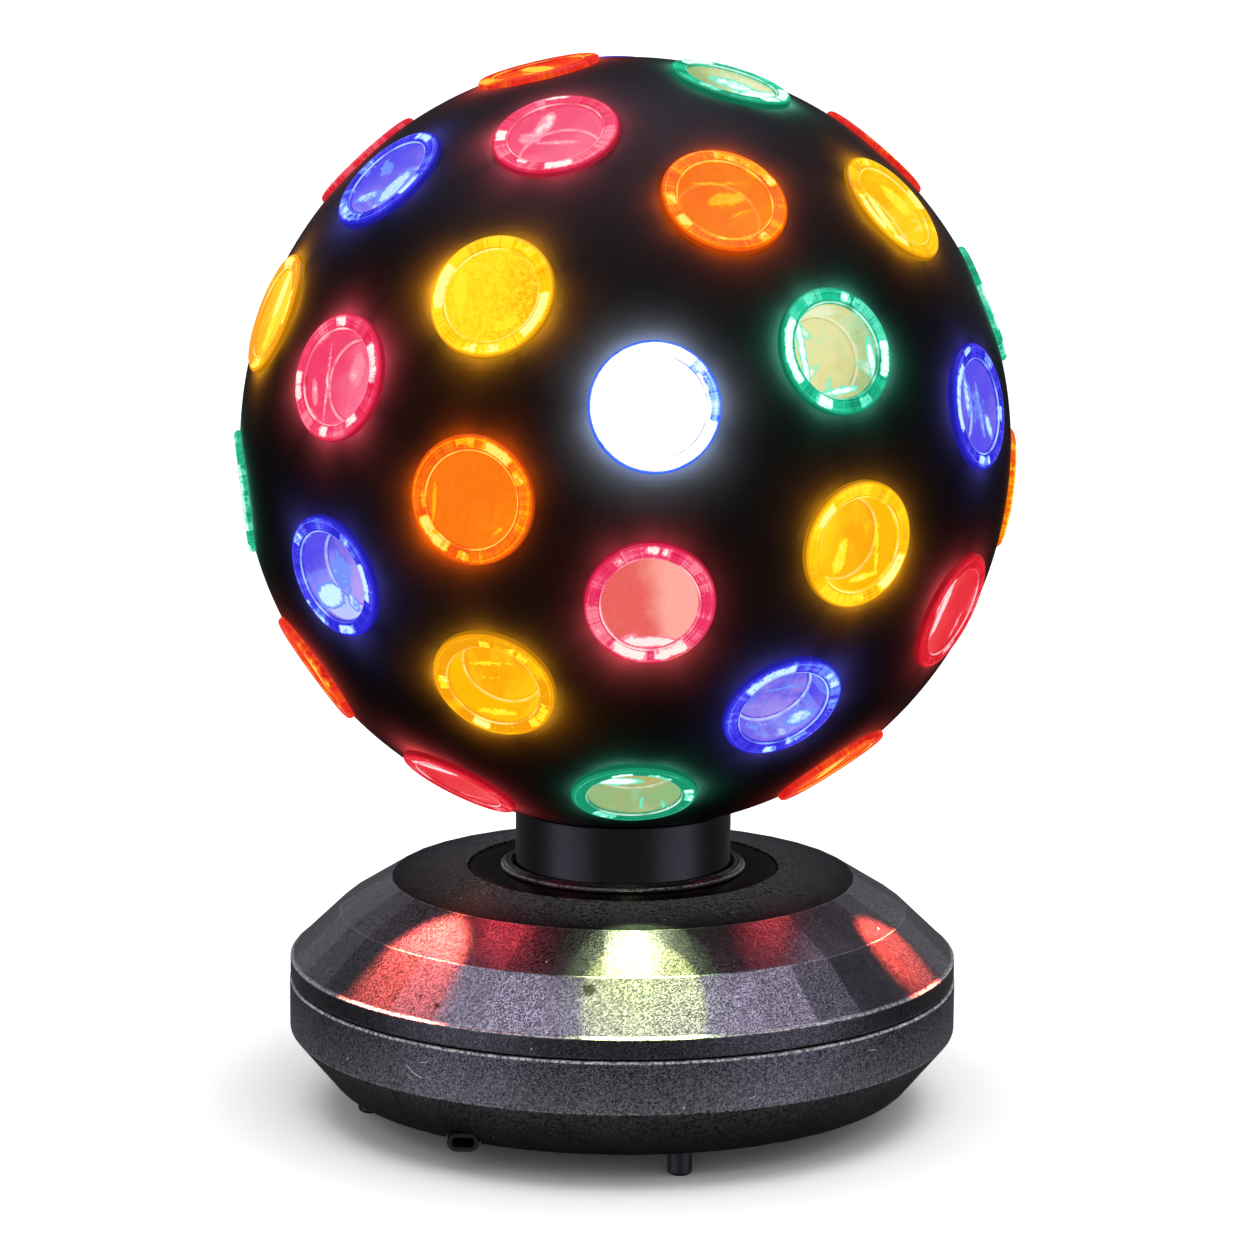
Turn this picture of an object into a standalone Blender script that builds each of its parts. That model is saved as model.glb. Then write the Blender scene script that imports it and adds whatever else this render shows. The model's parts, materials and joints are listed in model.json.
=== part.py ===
"""LED disco ball lamp: a black ball of coloured lenses that turns on a faceted base.

Metres, +Z up. The origin is on the ground, on the axis that the ball turns about.
The front is -Y. An azimuth is in degrees from the front towards +X.
"""
import math

import bmesh
import bpy
from mathutils import Euler, Matrix, Vector

# Clearances and overlaps
FIT_GAP = 0.0003
RUN_GAP = 0.0005
SEAM_GAP = 0.0004
JOIN = 0.0006
OVERRUN = 0.001
MERGE = 0.000001

# Ball
BALL_RADIUS = 0.1000
BALL_WALL = 0.0020
VENT_RADIUS = 0.0012
BALL_STEPS = 36
BALL_ARC_STEPS = 18
BALL_PHASE = 5.3

# Lenses
LENS_RADIUS_SHARE = 0.158
LENS_PROUD = 0.0018
LENS_ROUND = 0.0007
LENS_FLANGE = 0.0010
LENS_DEPTH = 0.0026
LENS_STEP = 0.0006
LENS_STEP_SHARE = 0.74
LENS_SIDES = 14
HIDDEN_LENS_SIDES = 12
WEB_WIDTH = 0.0080
WEB_THICKNESS = 0.0012
WEB_STEP_DEGREES = 12.0

# Azimuth, latitude and colour of each lens that can be seen from the front
FRONT_LENSES = (
    (-68, 75.8, "red"),
    (51, 70.5, "green"),
    (-18, 55.5, "red"),
    (-97, 47, "red"),
    (-57, 45, "blue"),
    (59.5, 40, "yellow"),
    (98, 49.5, "red"),
    (18.5, 42.5, "orange"),
    (-21, 27, "yellow"),
    (90.5, 22, "green"),
    (-72, 21.3, "yellow"),
    (32, 19, "green"),
    (-46, 14, "red"),
    (62.5, 9, "blue"),
    (4, 12, "blue"),
    (92.5, -6.5, "orange"),
    (-83, -6.5, "green"),
    (-21.3, -1.2, "orange"),
    (34.5, -8, "yellow"),
    (-47.5, -14.5, "blue"),
    (3.6, -15.2, "red"),
    (62, -21.3, "red"),
    (-21.2, -29.2, "yellow"),
    (27.8, -33.6, "blue"),
    (-74, -34, "red"),
    (-48, -55.6, "red"),
    (63, -53, "red"),
    (2.6, -53.5, "green"),
)
# Azimuth, latitudes and colour of each column of lenses on the hidden side
HIDDEN_COLUMNS = (
    (123, (-42, -16, 9, 34), "green"),
    (156, (-53, -30, -4, 22, 47.5), "red"),
    (188, (-42, -16, 9, 36, 71), "yellow"),
    (220, (-53, -30, -4, 22, 47.5), "blue"),
    (253, (-58, -34, -8, 18), "orange"),
)

# Neck, its collar and what holds the ball on it
NECK_RADIUS = 0.0285
NECK_WALL = 0.0025
NECK_SHOW = 0.0166
NECK_SHOULDER = 0.0030
NECK_STEPS = 32
SPIGOT_INSET = 0.0033
SPIGOT_WALL = 0.0025
SPIGOT_HEIGHT = 0.0090
LOCK_WIDTH = 0.0065
LOCK_HEIGHT = 0.0035
HUB_FLOOR = 0.0025
HUB_FLANGE = 0.0045
COLLAR_WIDTH = 0.0028
COLLAR_HEIGHT = 0.0015
COLLAR_BEVEL = 0.0011
PLATE_WIDTH = 0.0119
PLATE_THICKNESS = 0.0020
PLATE_SINK = 0.0003
GROOVE_WIDTH = 0.0007
NECK_CLEARANCE = 0.0009

# Base shells
BASE_RADIUS = 0.0884
GROUND_CLEARANCE = 0.0077
FLOOR_THICKNESS = 0.0025
TAPER_INSET = 0.0113
TAPER_HEIGHT = 0.0141
WALL_HEIGHT = 0.0133
EDGE_ROUND = 0.0008
LIP_HEIGHT = 0.0055
LIP_INSET = 0.0003
SHELL_WALL = 0.0024
SKIRT_WALL = 0.0018
SKIRT_HEIGHT = 0.0030
# How far out each tier's edge is, between the plate's edge and the wall
TIER_SPREAD_SHARES = (0.983, 0.72, 0.4275, 0)
TIER_RISES = (0.0118, 0.0085, 0.0026)
SLEEVE_WALL = 0.0026
FACETS = 38
FACET_PHASE = -4.0
LOWER_STEPS = 52

# Feet
FOOT_RADIUS = 0.0031
FOOT_NECK_RADIUS = 0.0021
FOOT_HEAD_HEIGHT = 0.0016
FOOT_ROUND = 0.0005
FOOT_CIRCLE_SHARE = 0.77
FOOT_AZIMUTHS = (12.5, 102.5, 192.5, 282.5)
FOOT_STEPS = 12

# Long screws that join the shells
SCREW_CIRCLE_SHARE = 0.747
SCREW_AZIMUTHS = (57.5, 177.5, 297.5)
SCREW_RADIUS = 0.0015
SCREW_HEAD_RADIUS = 0.0033
SCREW_HEAD_HEIGHT = 0.0022
SCREW_CROWN_SHARE = 0.65
SCREW_STEPS = 10
BOSS_RADIUS = 0.0052
BOSS_HEIGHT = 0.0133
BOSS_SEAT = 0.0040
POST_RADIUS = 0.0040
POST_SKIN = 0.0013
SCREW_REACH = 0.0125
BOSS_STEPS = 12

# Cord grommet, in its notch in the lower edge
GROMMET_AZIMUTH = -29.8
GROMMET_WIDTH = 0.0082
GROMMET_HEIGHT = 0.0050
GROMMET_LENGTH = 0.0165
GROMMET_LIFT = 0.0007
GROMMET_BORE_WIDTH = 0.0056
GROMMET_BORE_HEIGHT = 0.0024
GROMMET_FRONT_SHARE = 0.78
NOTCH_RUN = 0.0080
OVAL_ARC_STEPS = 5

# Gears
GEAR_RIM = 0.00555
RING_TEETH = 48
PINION_TEETH = 12
GEAR_HEIGHT = 0.0060
ADDENDUM_SHARE = 0.8
DEDENDUM_SHARE = 1.1
PRESSURE_ANGLE = 20.0
BACKLASH = 0.0005

# Motor, its pinion shaft and its screws
MOTOR_AZIMUTH = 147.5
MOTOR_ROOM = 0.0075
MOTOR_HEIGHT = 0.0190
MOTOR_EDGE = 0.0010
MOTOR_STEPS = 28
EAR_REACH = 0.0060
EAR_RADIUS = 0.0050
EAR_THICKNESS = 0.0012
EAR_DROP = 0.0004
SHAFT_RADIUS = 0.0025
SHAFT_SEAT = 0.0020
SHAFT_STEPS = 12
MOTOR_BOSS_RADIUS = 0.0038
MOTOR_SCREW_REACH = 0.0100

# Lamp post, its tower and bush
POST_TUBE_RADIUS = 0.0080
POST_TUBE_WALL = 0.0020
POST_TUBE_STEPS = 16
TOWER_WALL = 0.0037
TOWER_HEIGHT = 0.0260
TOWER_STEPS = 20
BUSH_WALL = 0.0018
BUSH_FLANGE = 0.0040
BUSH_FLANGE_HEIGHT = 0.0024
BUSH_RISE = 0.0030

# Light head
LIGHT_RISE = 0.0080
HEAD_RADIUS = 0.0130
HEAD_HEIGHT = 0.0220
HEAD_SPIGOT = 0.0060
LED_AZIMUTHS = (4.0, 124.0, 244.0)
LED_BOARD_RADIUS = 0.0055
LED_BOARD_THICKNESS = 0.0015
LED_DOME_RADIUS = 0.0038
LED_DOME_HEIGHT = 0.0030
LED_DOME_SHARES = (0.65, 0.75)
LED_STEPS = 12

# Driver board
BOARD_CENTRE_AZIMUTH = 262.0
BOARD_WIDTH = 0.0240
BOARD_LENGTH = 0.0400
BOARD_THICKNESS = 0.0016
BOARD_STAND = 0.0035
BOARD_BOSS_RADIUS = 0.0030
BOARD_BOSS_SHARE = 0.36
# Each part on the board: its place and its size as shares of the board, and its height
BOARD_PARTS = (
    (-0.05, -0.28, 0.66, 0.34, 0.0110),
    (0.18, 0.13, 0.36, 0.22, 0.0080),
    (-0.22, 0.34, 0.30, 0.20, 0.0055),
)

# Heights, from the ground up
floor_top = GROUND_CLEARANCE + FLOOR_THICKNESS
taper_top = GROUND_CLEARANCE + TAPER_HEIGHT
seam = taper_top + WALL_HEIGHT
lip_bottom = seam + SEAM_GAP
rim = lip_bottom + LIP_HEIGHT
sleeve_radius = NECK_RADIUS + NECK_CLEARANCE
plate_radius = sleeve_radius + PLATE_WIDTH
tier_span = BASE_RADIUS - plate_radius
tier_radii = [plate_radius + tier_span * share for share in TIER_SPREAD_SHARES]
tier_heights = [rim + sum(TIER_RISES[:count]) for count in range(len(tier_radii))]
plate_top = tier_heights[-1] - PLATE_SINK
ledge = plate_top - PLATE_THICKNESS - FIT_GAP
ball_height = plate_top + NECK_SHOW + math.sqrt(BALL_RADIUS**2 - NECK_RADIUS**2)

tower_top = floor_top + TOWER_HEIGHT
bush_top = tower_top + FIT_GAP + BUSH_FLANGE_HEIGHT
hub_bottom = bush_top + FIT_GAP
hub_floor_top = hub_bottom + HUB_FLOOR
gear_bottom = hub_floor_top + FIT_GAP
gear_top = gear_bottom + GEAR_HEIGHT
sleeve_bottom = gear_top + RUN_GAP

motor_top = floor_top + FIT_GAP + MOTOR_HEIGHT
ear_top = motor_top - EAR_DROP
head_centre = ball_height + LIGHT_RISE
post_tube_top = head_centre - HEAD_HEIGHT / 2 - FIT_GAP

# Gears
gear_module = (NECK_RADIUS + FIT_GAP + GEAR_RIM) / (RING_TEETH / 2 - DEDENDUM_SHARE)
gear_centre_distance = gear_module * (RING_TEETH + PINION_TEETH) / 2

# Radii and circles
spigot_radius = NECK_RADIUS - SPIGOT_INSET
opening_radius = spigot_radius + FIT_GAP
tower_bore = POST_TUBE_RADIUS + FIT_GAP
tower_radius = tower_bore + TOWER_WALL
bush_radius = tower_bore + BUSH_WALL
hub_bore = bush_radius + FIT_GAP
screw_circle = BASE_RADIUS * SCREW_CIRCLE_SHARE
foot_circle = BASE_RADIUS * FOOT_CIRCLE_SHARE
screw_hole = SCREW_RADIUS + FIT_GAP
floor_radius = BASE_RADIUS - TAPER_INSET
taper_slope_share = TAPER_INSET / TAPER_HEIGHT
tub_radius = floor_radius + FLOOR_THICKNESS * taper_slope_share - SHELL_WALL - EDGE_ROUND

# The parts on the floor stand midway between the tower and the taper
floor_parts_circle = (tower_radius + tub_radius) / 2
motor_radius = (tub_radius - tower_radius) / 2 - MOTOR_ROOM
ear_span = motor_radius + EAR_REACH

# Lens sizes, with heights measured from the ball's centre along the lens's own axis
lens_radius = BALL_RADIUS * LENS_RADIUS_SHARE
lens_body_radius = lens_radius - LENS_FLANGE
lens_hole_radius = lens_body_radius + FIT_GAP
lens_top = math.sqrt(BALL_RADIUS**2 - lens_radius**2) + LENS_PROUD
lens_seat = math.sqrt(BALL_RADIUS**2 - lens_hole_radius**2) + FIT_GAP
lens_bottom = BALL_RADIUS - BALL_WALL - LENS_DEPTH
inner_ball_radius = BALL_RADIUS - BALL_WALL
half_step_shares = (math.cos(math.pi / BALL_STEPS), math.cos(math.pi / BALL_ARC_STEPS / 2))
ball_sag = BALL_RADIUS * (1 - math.prod(half_step_shares))


# Scene and materials
def clear_scene():
    for thing in list(bpy.data.objects):
        bpy.data.objects.remove(thing, do_unlink=True)


def finish(name, colour, roughness, metallic=0.0, transmission=0.0, glow=0.0):
    """A Principled material, found again by its name."""
    if name in bpy.data.materials:
        return bpy.data.materials[name]
    material = bpy.data.materials.new(name)
    material.use_nodes = True
    shader = material.node_tree.nodes["Principled BSDF"]
    shader.inputs["Base Color"].default_value = (*colour, 1.0)
    shader.inputs["Roughness"].default_value = roughness
    shader.inputs["Metallic"].default_value = metallic
    shader.inputs["Transmission Weight"].default_value = transmission
    shader.inputs["Emission Color"].default_value = (*colour, 1.0)
    shader.inputs["Emission Strength"].default_value = glow
    material.diffuse_color = (*colour, 1.0)
    return material


LENS_COLOURS = {
    "red": (0.85, 0.05, 0.12),
    "orange": (1.0, 0.32, 0.02),
    "yellow": (1.0, 0.66, 0.04),
    "green": (0.02, 0.62, 0.36),
    "blue": (0.08, 0.10, 0.90),
}


def lens_finish(colour):
    return finish("lens_" + colour, LENS_COLOURS[colour], 0.15, transmission=0.4, glow=0.6)


def grained_plastic():
    return finish("grained_plastic", (0.045, 0.043, 0.050), 0.45)


def ball_plastic():
    return finish("ball_plastic", (0.010, 0.010, 0.011), 0.42)


def satin_plastic():
    return finish("satin_plastic", (0.020, 0.020, 0.022), 0.35)


def bearing_plastic():
    return finish("bearing_plastic", (0.82, 0.82, 0.78), 0.40)


def foot_rubber():
    return finish("foot_rubber", (0.015, 0.015, 0.016), 0.70)


def zinc_steel():
    return finish("zinc_steel", (0.62, 0.63, 0.64), 0.30, metallic=1.0)


# Objects
def body(name, mesh, material, parent=None):
    """An object for one piece, or for a tool when it has no material."""
    thing = bpy.data.objects.new(name, mesh)
    bpy.context.scene.collection.objects.link(thing)
    if material and not mesh.materials:
        mesh.materials.append(material)
    if parent:
        thing.parent = parent
    return thing


def tool(name, mesh, parent=None):
    """A shape that only cuts or joins others."""
    thing = body(name, mesh, None, parent)
    thing.hide_render = True
    thing.display_type = "WIRE"
    return thing


def axis_empty(name, location):
    empty = bpy.data.objects.new(name, None)
    empty.location = location
    bpy.context.scene.collection.objects.link(empty)
    return empty


def combine(thing, other, operation):
    step = thing.modifiers.new(other.name, "BOOLEAN")
    step.object = other
    step.operation = operation
    step.solver = "EXACT"


def cut(thing, other):
    combine(thing, other, "DIFFERENCE")


def join(thing, other):
    combine(thing, other, "UNION")


# Meshes
def closed_mesh(name, bm, smooth_angle=30.0):
    """The bmesh as a mesh with outward faces, smooth where faces meet gently."""
    bmesh.ops.recalc_face_normals(bm, faces=bm.faces)
    mesh = bpy.data.meshes.new(name)
    bm.to_mesh(mesh)
    bm.free()
    mesh.shade_smooth()
    mesh.set_sharp_from_angle(angle=math.radians(smooth_angle))
    return mesh


def point_at(azimuth, radius, height=0.0):
    angle = math.radians(azimuth)
    return Vector((radius * math.sin(angle), -radius * math.cos(angle), height))


def turned(name, profile, steps, first_azimuth=0.0, smooth_angle=30.0):
    """A profile of (radius, height) points turned about Z.

    A profile that starts off the axis is a closed loop, which gives a ring.
    """
    bm = bmesh.new()
    points = [bm.verts.new(point_at(first_azimuth, radius, height)) for radius, height in profile]
    edges = [bm.edges.new(pair) for pair in zip(points, points[1:])]
    if profile[0][0] > 0:
        edges.append(bm.edges.new((points[-1], points[0])))
    bmesh.ops.spin(
        bm,
        geom=points + edges,
        cent=(0, 0, 0),
        axis=(0, 0, 1),
        angle=math.tau,
        steps=steps,
        use_merge=True,
    )
    bmesh.ops.remove_doubles(bm, verts=bm.verts, dist=MERGE)
    return closed_mesh(name, bm, smooth_angle)


def lofted(name, sections, smooth_angle=30.0):
    """A closed body through sections of equal point counts, with flat ends."""
    bm = bmesh.new()
    rings = [[bm.verts.new(point) for point in section] for section in sections]
    for lower, upper in zip(rings, rings[1:]):
        for near in range(len(lower)):
            far = (near + 1) % len(lower)
            bm.faces.new((lower[near], lower[far], upper[far], upper[near]))
    bm.faces.new(rings[0][::-1])
    bm.faces.new(rings[-1])
    return closed_mesh(name, bm, smooth_angle)


def prism(name, outline, bottom, top):
    """An (x, y) outline raised from one height to another."""
    return lofted(name, [[(x, y, height) for x, y in outline] for height in (bottom, top)])


def cylinders(name, centres, radius, bottom, top, steps):
    """Upright cylinders of one size in one mesh."""
    bm = bmesh.new()
    for centre in centres:
        middle = Matrix.Translation((centre[0], centre[1], (bottom + top) / 2))
        bmesh.ops.create_cone(
            bm,
            cap_ends=True,
            segments=steps,
            radius1=radius,
            radius2=radius,
            depth=top - bottom,
            matrix=middle,
        )
    return closed_mesh(name, bm)


def boxes(name, sizes_and_centres):
    """Upright boxes, each from its size and its centre, in one mesh."""
    bm = bmesh.new()
    for size, centre in sizes_and_centres:
        matrix = Matrix.Translation(centre) @ Matrix.Diagonal((*size, 1.0))
        bmesh.ops.create_cube(bm, size=1.0, matrix=matrix)
    return closed_mesh(name, bm)


def oval(width, height):
    """An outline with straight top and bottom and round ends."""
    radius = height / 2
    reach = width / 2 - radius
    points = []
    for side, start in ((1, -90), (-1, 90)):
        for step in range(OVAL_ARC_STEPS + 1):
            angle = math.radians(start + 180 * step / OVAL_ARC_STEPS)
            points.append((side * reach + radius * math.cos(angle), radius * math.sin(angle)))
    return points


def arc_profile(radius, first, last, steps):
    """Points on a sphere's outline, between two angles from its top."""
    angles = [first + (last - first) * step / steps for step in range(steps + 1)]
    return [(radius * math.sin(angle), radius * math.cos(angle)) for angle in angles]


def offset_corners(points, distance):
    """The inner corners of a line of points, offset square to each stretch."""
    moved = []
    for before, corner, after in zip(points, points[1:], points[2:]):
        first = (Vector(corner) - Vector(before)).normalized()
        second = (Vector(after) - Vector(corner)).normalized()
        normal = Vector((first.y + second.y, -first.x - second.x)).normalized()
        reach = distance / normal.dot(Vector((first.y, -first.x)))
        moved.append(tuple(Vector(corner) + normal * reach))
    return moved


# Lenses
def lens_turn(azimuth, latitude):
    """The turn that points +Z at a place on the ball."""
    return (math.radians(90 - latitude), 0.0, math.radians(azimuth))


def lens_matrix(azimuth, latitude):
    return Euler(lens_turn(azimuth, latitude)).to_matrix().to_4x4()


def lens_profile():
    step_radius = lens_radius * LENS_STEP_SHARE
    return [
        (0, lens_top - LENS_STEP),
        (step_radius - LENS_STEP, lens_top - LENS_STEP),
        (step_radius, lens_top),
        (lens_radius - LENS_ROUND, lens_top),
        (lens_radius, lens_top - LENS_ROUND),
        (lens_radius, lens_seat),
        (lens_body_radius, lens_seat),
        (lens_body_radius, lens_bottom),
        (0, lens_bottom),
    ]


def plain_lens_profile():
    return [
        (0, lens_top),
        (lens_radius - LENS_ROUND, lens_top),
        (lens_radius, lens_top - LENS_ROUND),
        (lens_radius, lens_seat),
        (lens_body_radius, lens_seat),
        (lens_body_radius, lens_bottom),
        (0, lens_bottom),
    ]


def make_front_lenses(ball_axis):
    shared = {}
    for number, (azimuth, latitude, colour) in enumerate(FRONT_LENSES, 1):
        if colour not in shared:
            shared[colour] = turned("lens_" + colour, lens_profile(), LENS_SIDES)
        name = f"lens_{number:02d}_{colour}"
        lens = body(name, shared[colour], lens_finish(colour), ball_axis)
        lens.rotation_euler = lens_turn(azimuth, latitude)


def column_web(name, azimuth, first, last):
    """The thin curved strip behind the shell that carries a column of lenses."""
    outer = inner_ball_radius - ball_sag - FIT_GAP
    count = math.ceil((last - first) / WEB_STEP_DEGREES)
    sections = []
    for step in range(count + 1):
        turn = lens_matrix(azimuth, first + (last - first) * step / count)
        sections.append(
            [
                turn @ Vector((side * WEB_WIDTH / 2, 0.0, radius))
                for side, radius in (
                    (-1, outer - WEB_THICKNESS),
                    (1, outer - WEB_THICKNESS),
                    (1, outer),
                    (-1, outer),
                )
            ]
        )
    return lofted(name, sections)


def many_turned(name, mesh, places):
    """Copies of a mesh, turned to each place on the ball, in one mesh."""
    bm = bmesh.new()
    for place in places:
        copy = mesh.copy()
        copy.transform(lens_matrix(*place))
        bm.from_mesh(copy)
    return closed_mesh(name, bm)


def make_lens_columns(ball_axis):
    single = turned("hidden_lens", plain_lens_profile(), HIDDEN_LENS_SIDES)
    for number, (azimuth, latitudes, colour) in enumerate(HIDDEN_COLUMNS, 1):
        name = f"lens_column_{number}"
        web = column_web(name, azimuth, latitudes[0], latitudes[-1])
        column = body(name, web, lens_finish(colour), ball_axis)
        places = [(azimuth, latitude) for latitude in latitudes]
        lenses = tool(f"{name}_lenses", many_turned(name, single, places), ball_axis)
        join(column, lenses)


def lens_hole_mesh(name, places, sides):
    """Short rods, one along the axis of each lens."""
    bm = bmesh.new()
    inner, outer = lens_bottom - OVERRUN, lens_top + OVERRUN
    for place in places:
        matrix = lens_matrix(*place) @ Matrix.Translation((0, 0, (inner + outer) / 2))
        bmesh.ops.create_cone(
            bm,
            cap_ends=True,
            segments=sides,
            radius1=lens_hole_radius,
            radius2=lens_hole_radius,
            depth=outer - inner,
            matrix=matrix,
        )
    return closed_mesh(name, bm)


# Ball
def make_ball_shell(ball_axis):
    profile = []
    for radius, order in ((BALL_RADIUS, 1), (inner_ball_radius, -1)):
        first = math.asin(VENT_RADIUS / radius)
        last = math.pi - math.asin(opening_radius / radius)
        profile += arc_profile(radius, first, last, BALL_ARC_STEPS)[::order]
    mesh = turned("ball_shell", profile, BALL_STEPS, BALL_PHASE, smooth_angle=40.0)
    shell = body("ball_shell", mesh, ball_plastic(), ball_axis)
    front = [place[:2] for place in FRONT_LENSES]
    hidden = [(azimuth, latitude) for azimuth, row, _ in HIDDEN_COLUMNS for latitude in row]
    cut(shell, tool("front_holes", lens_hole_mesh("front_holes", front, LENS_SIDES), ball_axis))
    holes = lens_hole_mesh("hidden_holes", hidden, HIDDEN_LENS_SIDES)
    cut(shell, tool("hidden_holes", holes, ball_axis))


def below_ball(radius, ball_surface):
    """How far below the ball's centre its surface is at a radius."""
    return math.sqrt(ball_surface**2 - radius**2)


def make_neck_hub(ball_axis):
    """The neck, with its floor and gear flange at the bottom and its spigot on top."""
    shoulder_out = -below_ball(NECK_RADIUS, BALL_RADIUS) - FIT_GAP
    shoulder_in = -below_ball(spigot_radius, BALL_RADIUS) - FIT_GAP
    spigot_top = shoulder_in + SPIGOT_HEIGHT
    bottom = hub_bottom - ball_height
    floor = hub_floor_top - ball_height
    bore = NECK_RADIUS - NECK_WALL
    profile = [
        (hub_bore, bottom),
        (NECK_RADIUS + HUB_FLANGE, bottom),
        (NECK_RADIUS + HUB_FLANGE, floor),
        (NECK_RADIUS, floor),
        (NECK_RADIUS, shoulder_out),
        (spigot_radius, shoulder_in),
        (spigot_radius, spigot_top),
        (spigot_radius - SPIGOT_WALL, spigot_top),
        (spigot_radius - SPIGOT_WALL, shoulder_in),
        (bore, shoulder_in - NECK_SHOULDER),
        (bore, floor),
        (hub_bore, floor),
    ]
    body("neck_hub", turned("neck_hub", profile, NECK_STEPS), satin_plastic(), ball_axis)


def make_lock_ring(ball_axis):
    """The ring inside the ball that clamps the shell on the neck."""
    inner = spigot_radius + FIT_GAP
    outer = spigot_radius + LOCK_WIDTH
    lift = ball_sag + FIT_GAP
    low = -below_ball(inner, inner_ball_radius) + lift
    high = -below_ball(outer, inner_ball_radius) + lift
    profile = [
        (inner, low),
        (outer, high),
        (outer, high + LOCK_HEIGHT),
        (inner, high + LOCK_HEIGHT),
    ]
    body("lock_ring", turned("lock_ring", profile, NECK_STEPS), satin_plastic(), ball_axis)


# Gears
def gear_outline(teeth, tooth_azimuth):
    """Straight-sided teeth, thinned at the pitch circle by half the backlash."""
    pitch_radius = gear_module * teeth / 2
    tip = pitch_radius + gear_module * ADDENDUM_SHARE
    root = pitch_radius - gear_module * DEDENDUM_SHARE
    half_pitch_width = (math.pi * gear_module / 2 - BACKLASH) / 2
    slope = math.tan(math.radians(PRESSURE_ANGLE))
    half_tip = half_pitch_width - (tip - pitch_radius) * slope
    half_root = half_pitch_width + (pitch_radius - root) * slope
    points = []
    for tooth in range(teeth):
        middle = tooth_azimuth + 360 * tooth / teeth
        corners = ((-half_root, root), (-half_tip, tip), (half_tip, tip), (half_root, root))
        for side, radius in corners:
            azimuth = middle + math.degrees(side / radius)
            points.append(tuple(point_at(azimuth, radius))[:2])
    return points


def make_ring_gear(ball_axis):
    outline = gear_outline(RING_TEETH, MOTOR_AZIMUTH + 180 / RING_TEETH)
    bottom, top = gear_bottom - ball_height, gear_top - ball_height
    gear = body("ring_gear", prism("ring_gear", outline, bottom, top), bearing_plastic(), ball_axis)
    bore = [(0, bottom - OVERRUN), (NECK_RADIUS + FIT_GAP, bottom - OVERRUN)]
    bore += [(NECK_RADIUS + FIT_GAP, top + OVERRUN), (0, top + OVERRUN)]
    cut(gear, tool("ring_gear_bore", turned("ring_gear_bore", bore, NECK_STEPS), ball_axis))


def make_pinion(pinion_axis):
    """The pinion and its shaft, which stands in the motor's bore."""
    outline = gear_outline(PINION_TEETH, MOTOR_AZIMUTH + 180)
    bottom, top = gear_bottom - motor_top, gear_top - motor_top
    pinion = body("pinion", prism("pinion", outline, bottom, top), bearing_plastic(), pinion_axis)
    low = FIT_GAP - SHAFT_SEAT
    shaft = cylinders("shaft", [(0, 0)], SHAFT_RADIUS, low, bottom + JOIN, SHAFT_STEPS)
    join(pinion, tool("pinion_shaft", shaft, pinion_axis))


# Base shells
def upper_outline():
    """The outer corners of the upper shell, from the groove to the foot of its lip."""
    tiers = list(zip(tier_radii, tier_heights))[::-1]
    return tiers + [(BASE_RADIUS - LIP_INSET, lip_bottom)]


def tier_height_at(radius):
    """The height of the tiers' outer face at a radius."""
    line = upper_outline()
    for (near, high), (far, low) in zip(line, line[1:]):
        if near <= radius <= far:
            return high + (low - high) * (radius - near) / (far - near)
    return lip_bottom


def make_upper_shell():
    outline = upper_outline()
    skirt_out = BASE_RADIUS - SHELL_WALL - SEAM_GAP
    skirt_in = skirt_out - SKIRT_WALL
    skirt_bottom = lip_bottom - SKIRT_HEIGHT
    inner_tiers = offset_corners(outline, SHELL_WALL)[:-1][::-1]
    skirt_top = tier_height_at(skirt_in) - SHELL_WALL - EDGE_ROUND
    sleeve_out = sleeve_radius + SLEEVE_WALL
    under_ledge = ledge - SHELL_WALL
    profile = outline + [
        (skirt_out, lip_bottom),
        (skirt_out, skirt_bottom),
        (skirt_in, skirt_bottom),
        (skirt_in, skirt_top),
        *inner_tiers,
        (tier_radii[-1], under_ledge),
        (sleeve_out, under_ledge),
        (sleeve_out, sleeve_bottom),
        (sleeve_radius, sleeve_bottom),
        (sleeve_radius, ledge),
        (tier_radii[-1], ledge),
    ]
    mesh = turned("base_upper_shell", profile, FACETS, FACET_PHASE, smooth_angle=0.5)
    shell = body("base_upper_shell", mesh, grained_plastic())
    places = [point_at(azimuth, screw_circle) for azimuth in SCREW_AZIMUTHS]
    bottom = floor_top + BOSS_HEIGHT + FIT_GAP
    top = tier_height_at(screw_circle + POST_RADIUS) - POST_SKIN
    posts = cylinders("screw_posts", places, POST_RADIUS, bottom, top, BOSS_STEPS)
    join(shell, tool("screw_posts", posts))
    pilot_top = bottom + SCREW_REACH + RUN_GAP
    pilots = cylinders("post_pilots", places, screw_hole, bottom - OVERRUN, pilot_top, SCREW_STEPS)
    cut(shell, tool("post_pilots", pilots))


def grommet_centre():
    """Where the grommet's axis meets the taper, with its height."""
    radius = floor_radius + TAPER_INSET * (1 - GROMMET_FRONT_SHARE)
    return point_at(GROMMET_AZIMUTH, radius, GROUND_CLEARANCE + GROMMET_LIFT)


def notch_mesh():
    """An arch over the grommet, open below, that runs on into the base for the cord."""
    centre = grommet_centre()
    width, height = GROMMET_WIDTH + 2 * FIT_GAP, GROMMET_HEIGHT + 2 * FIT_GAP
    arch = [point for point in oval(width, height) if point[1] > 0]
    deep = centre.z - GROUND_CLEARANCE + OVERRUN
    outline = [(-width / 2, -deep), (width / 2, -deep), (width / 2, 0), *arch, (-width / 2, 0)]
    near = -BASE_RADIUS
    far = centre.y + GROMMET_LENGTH + NOTCH_RUN
    sections = [[(centre.x + x, y, centre.z + z) for x, z in outline] for y in (near, far)]
    return lofted("notch", sections)


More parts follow.
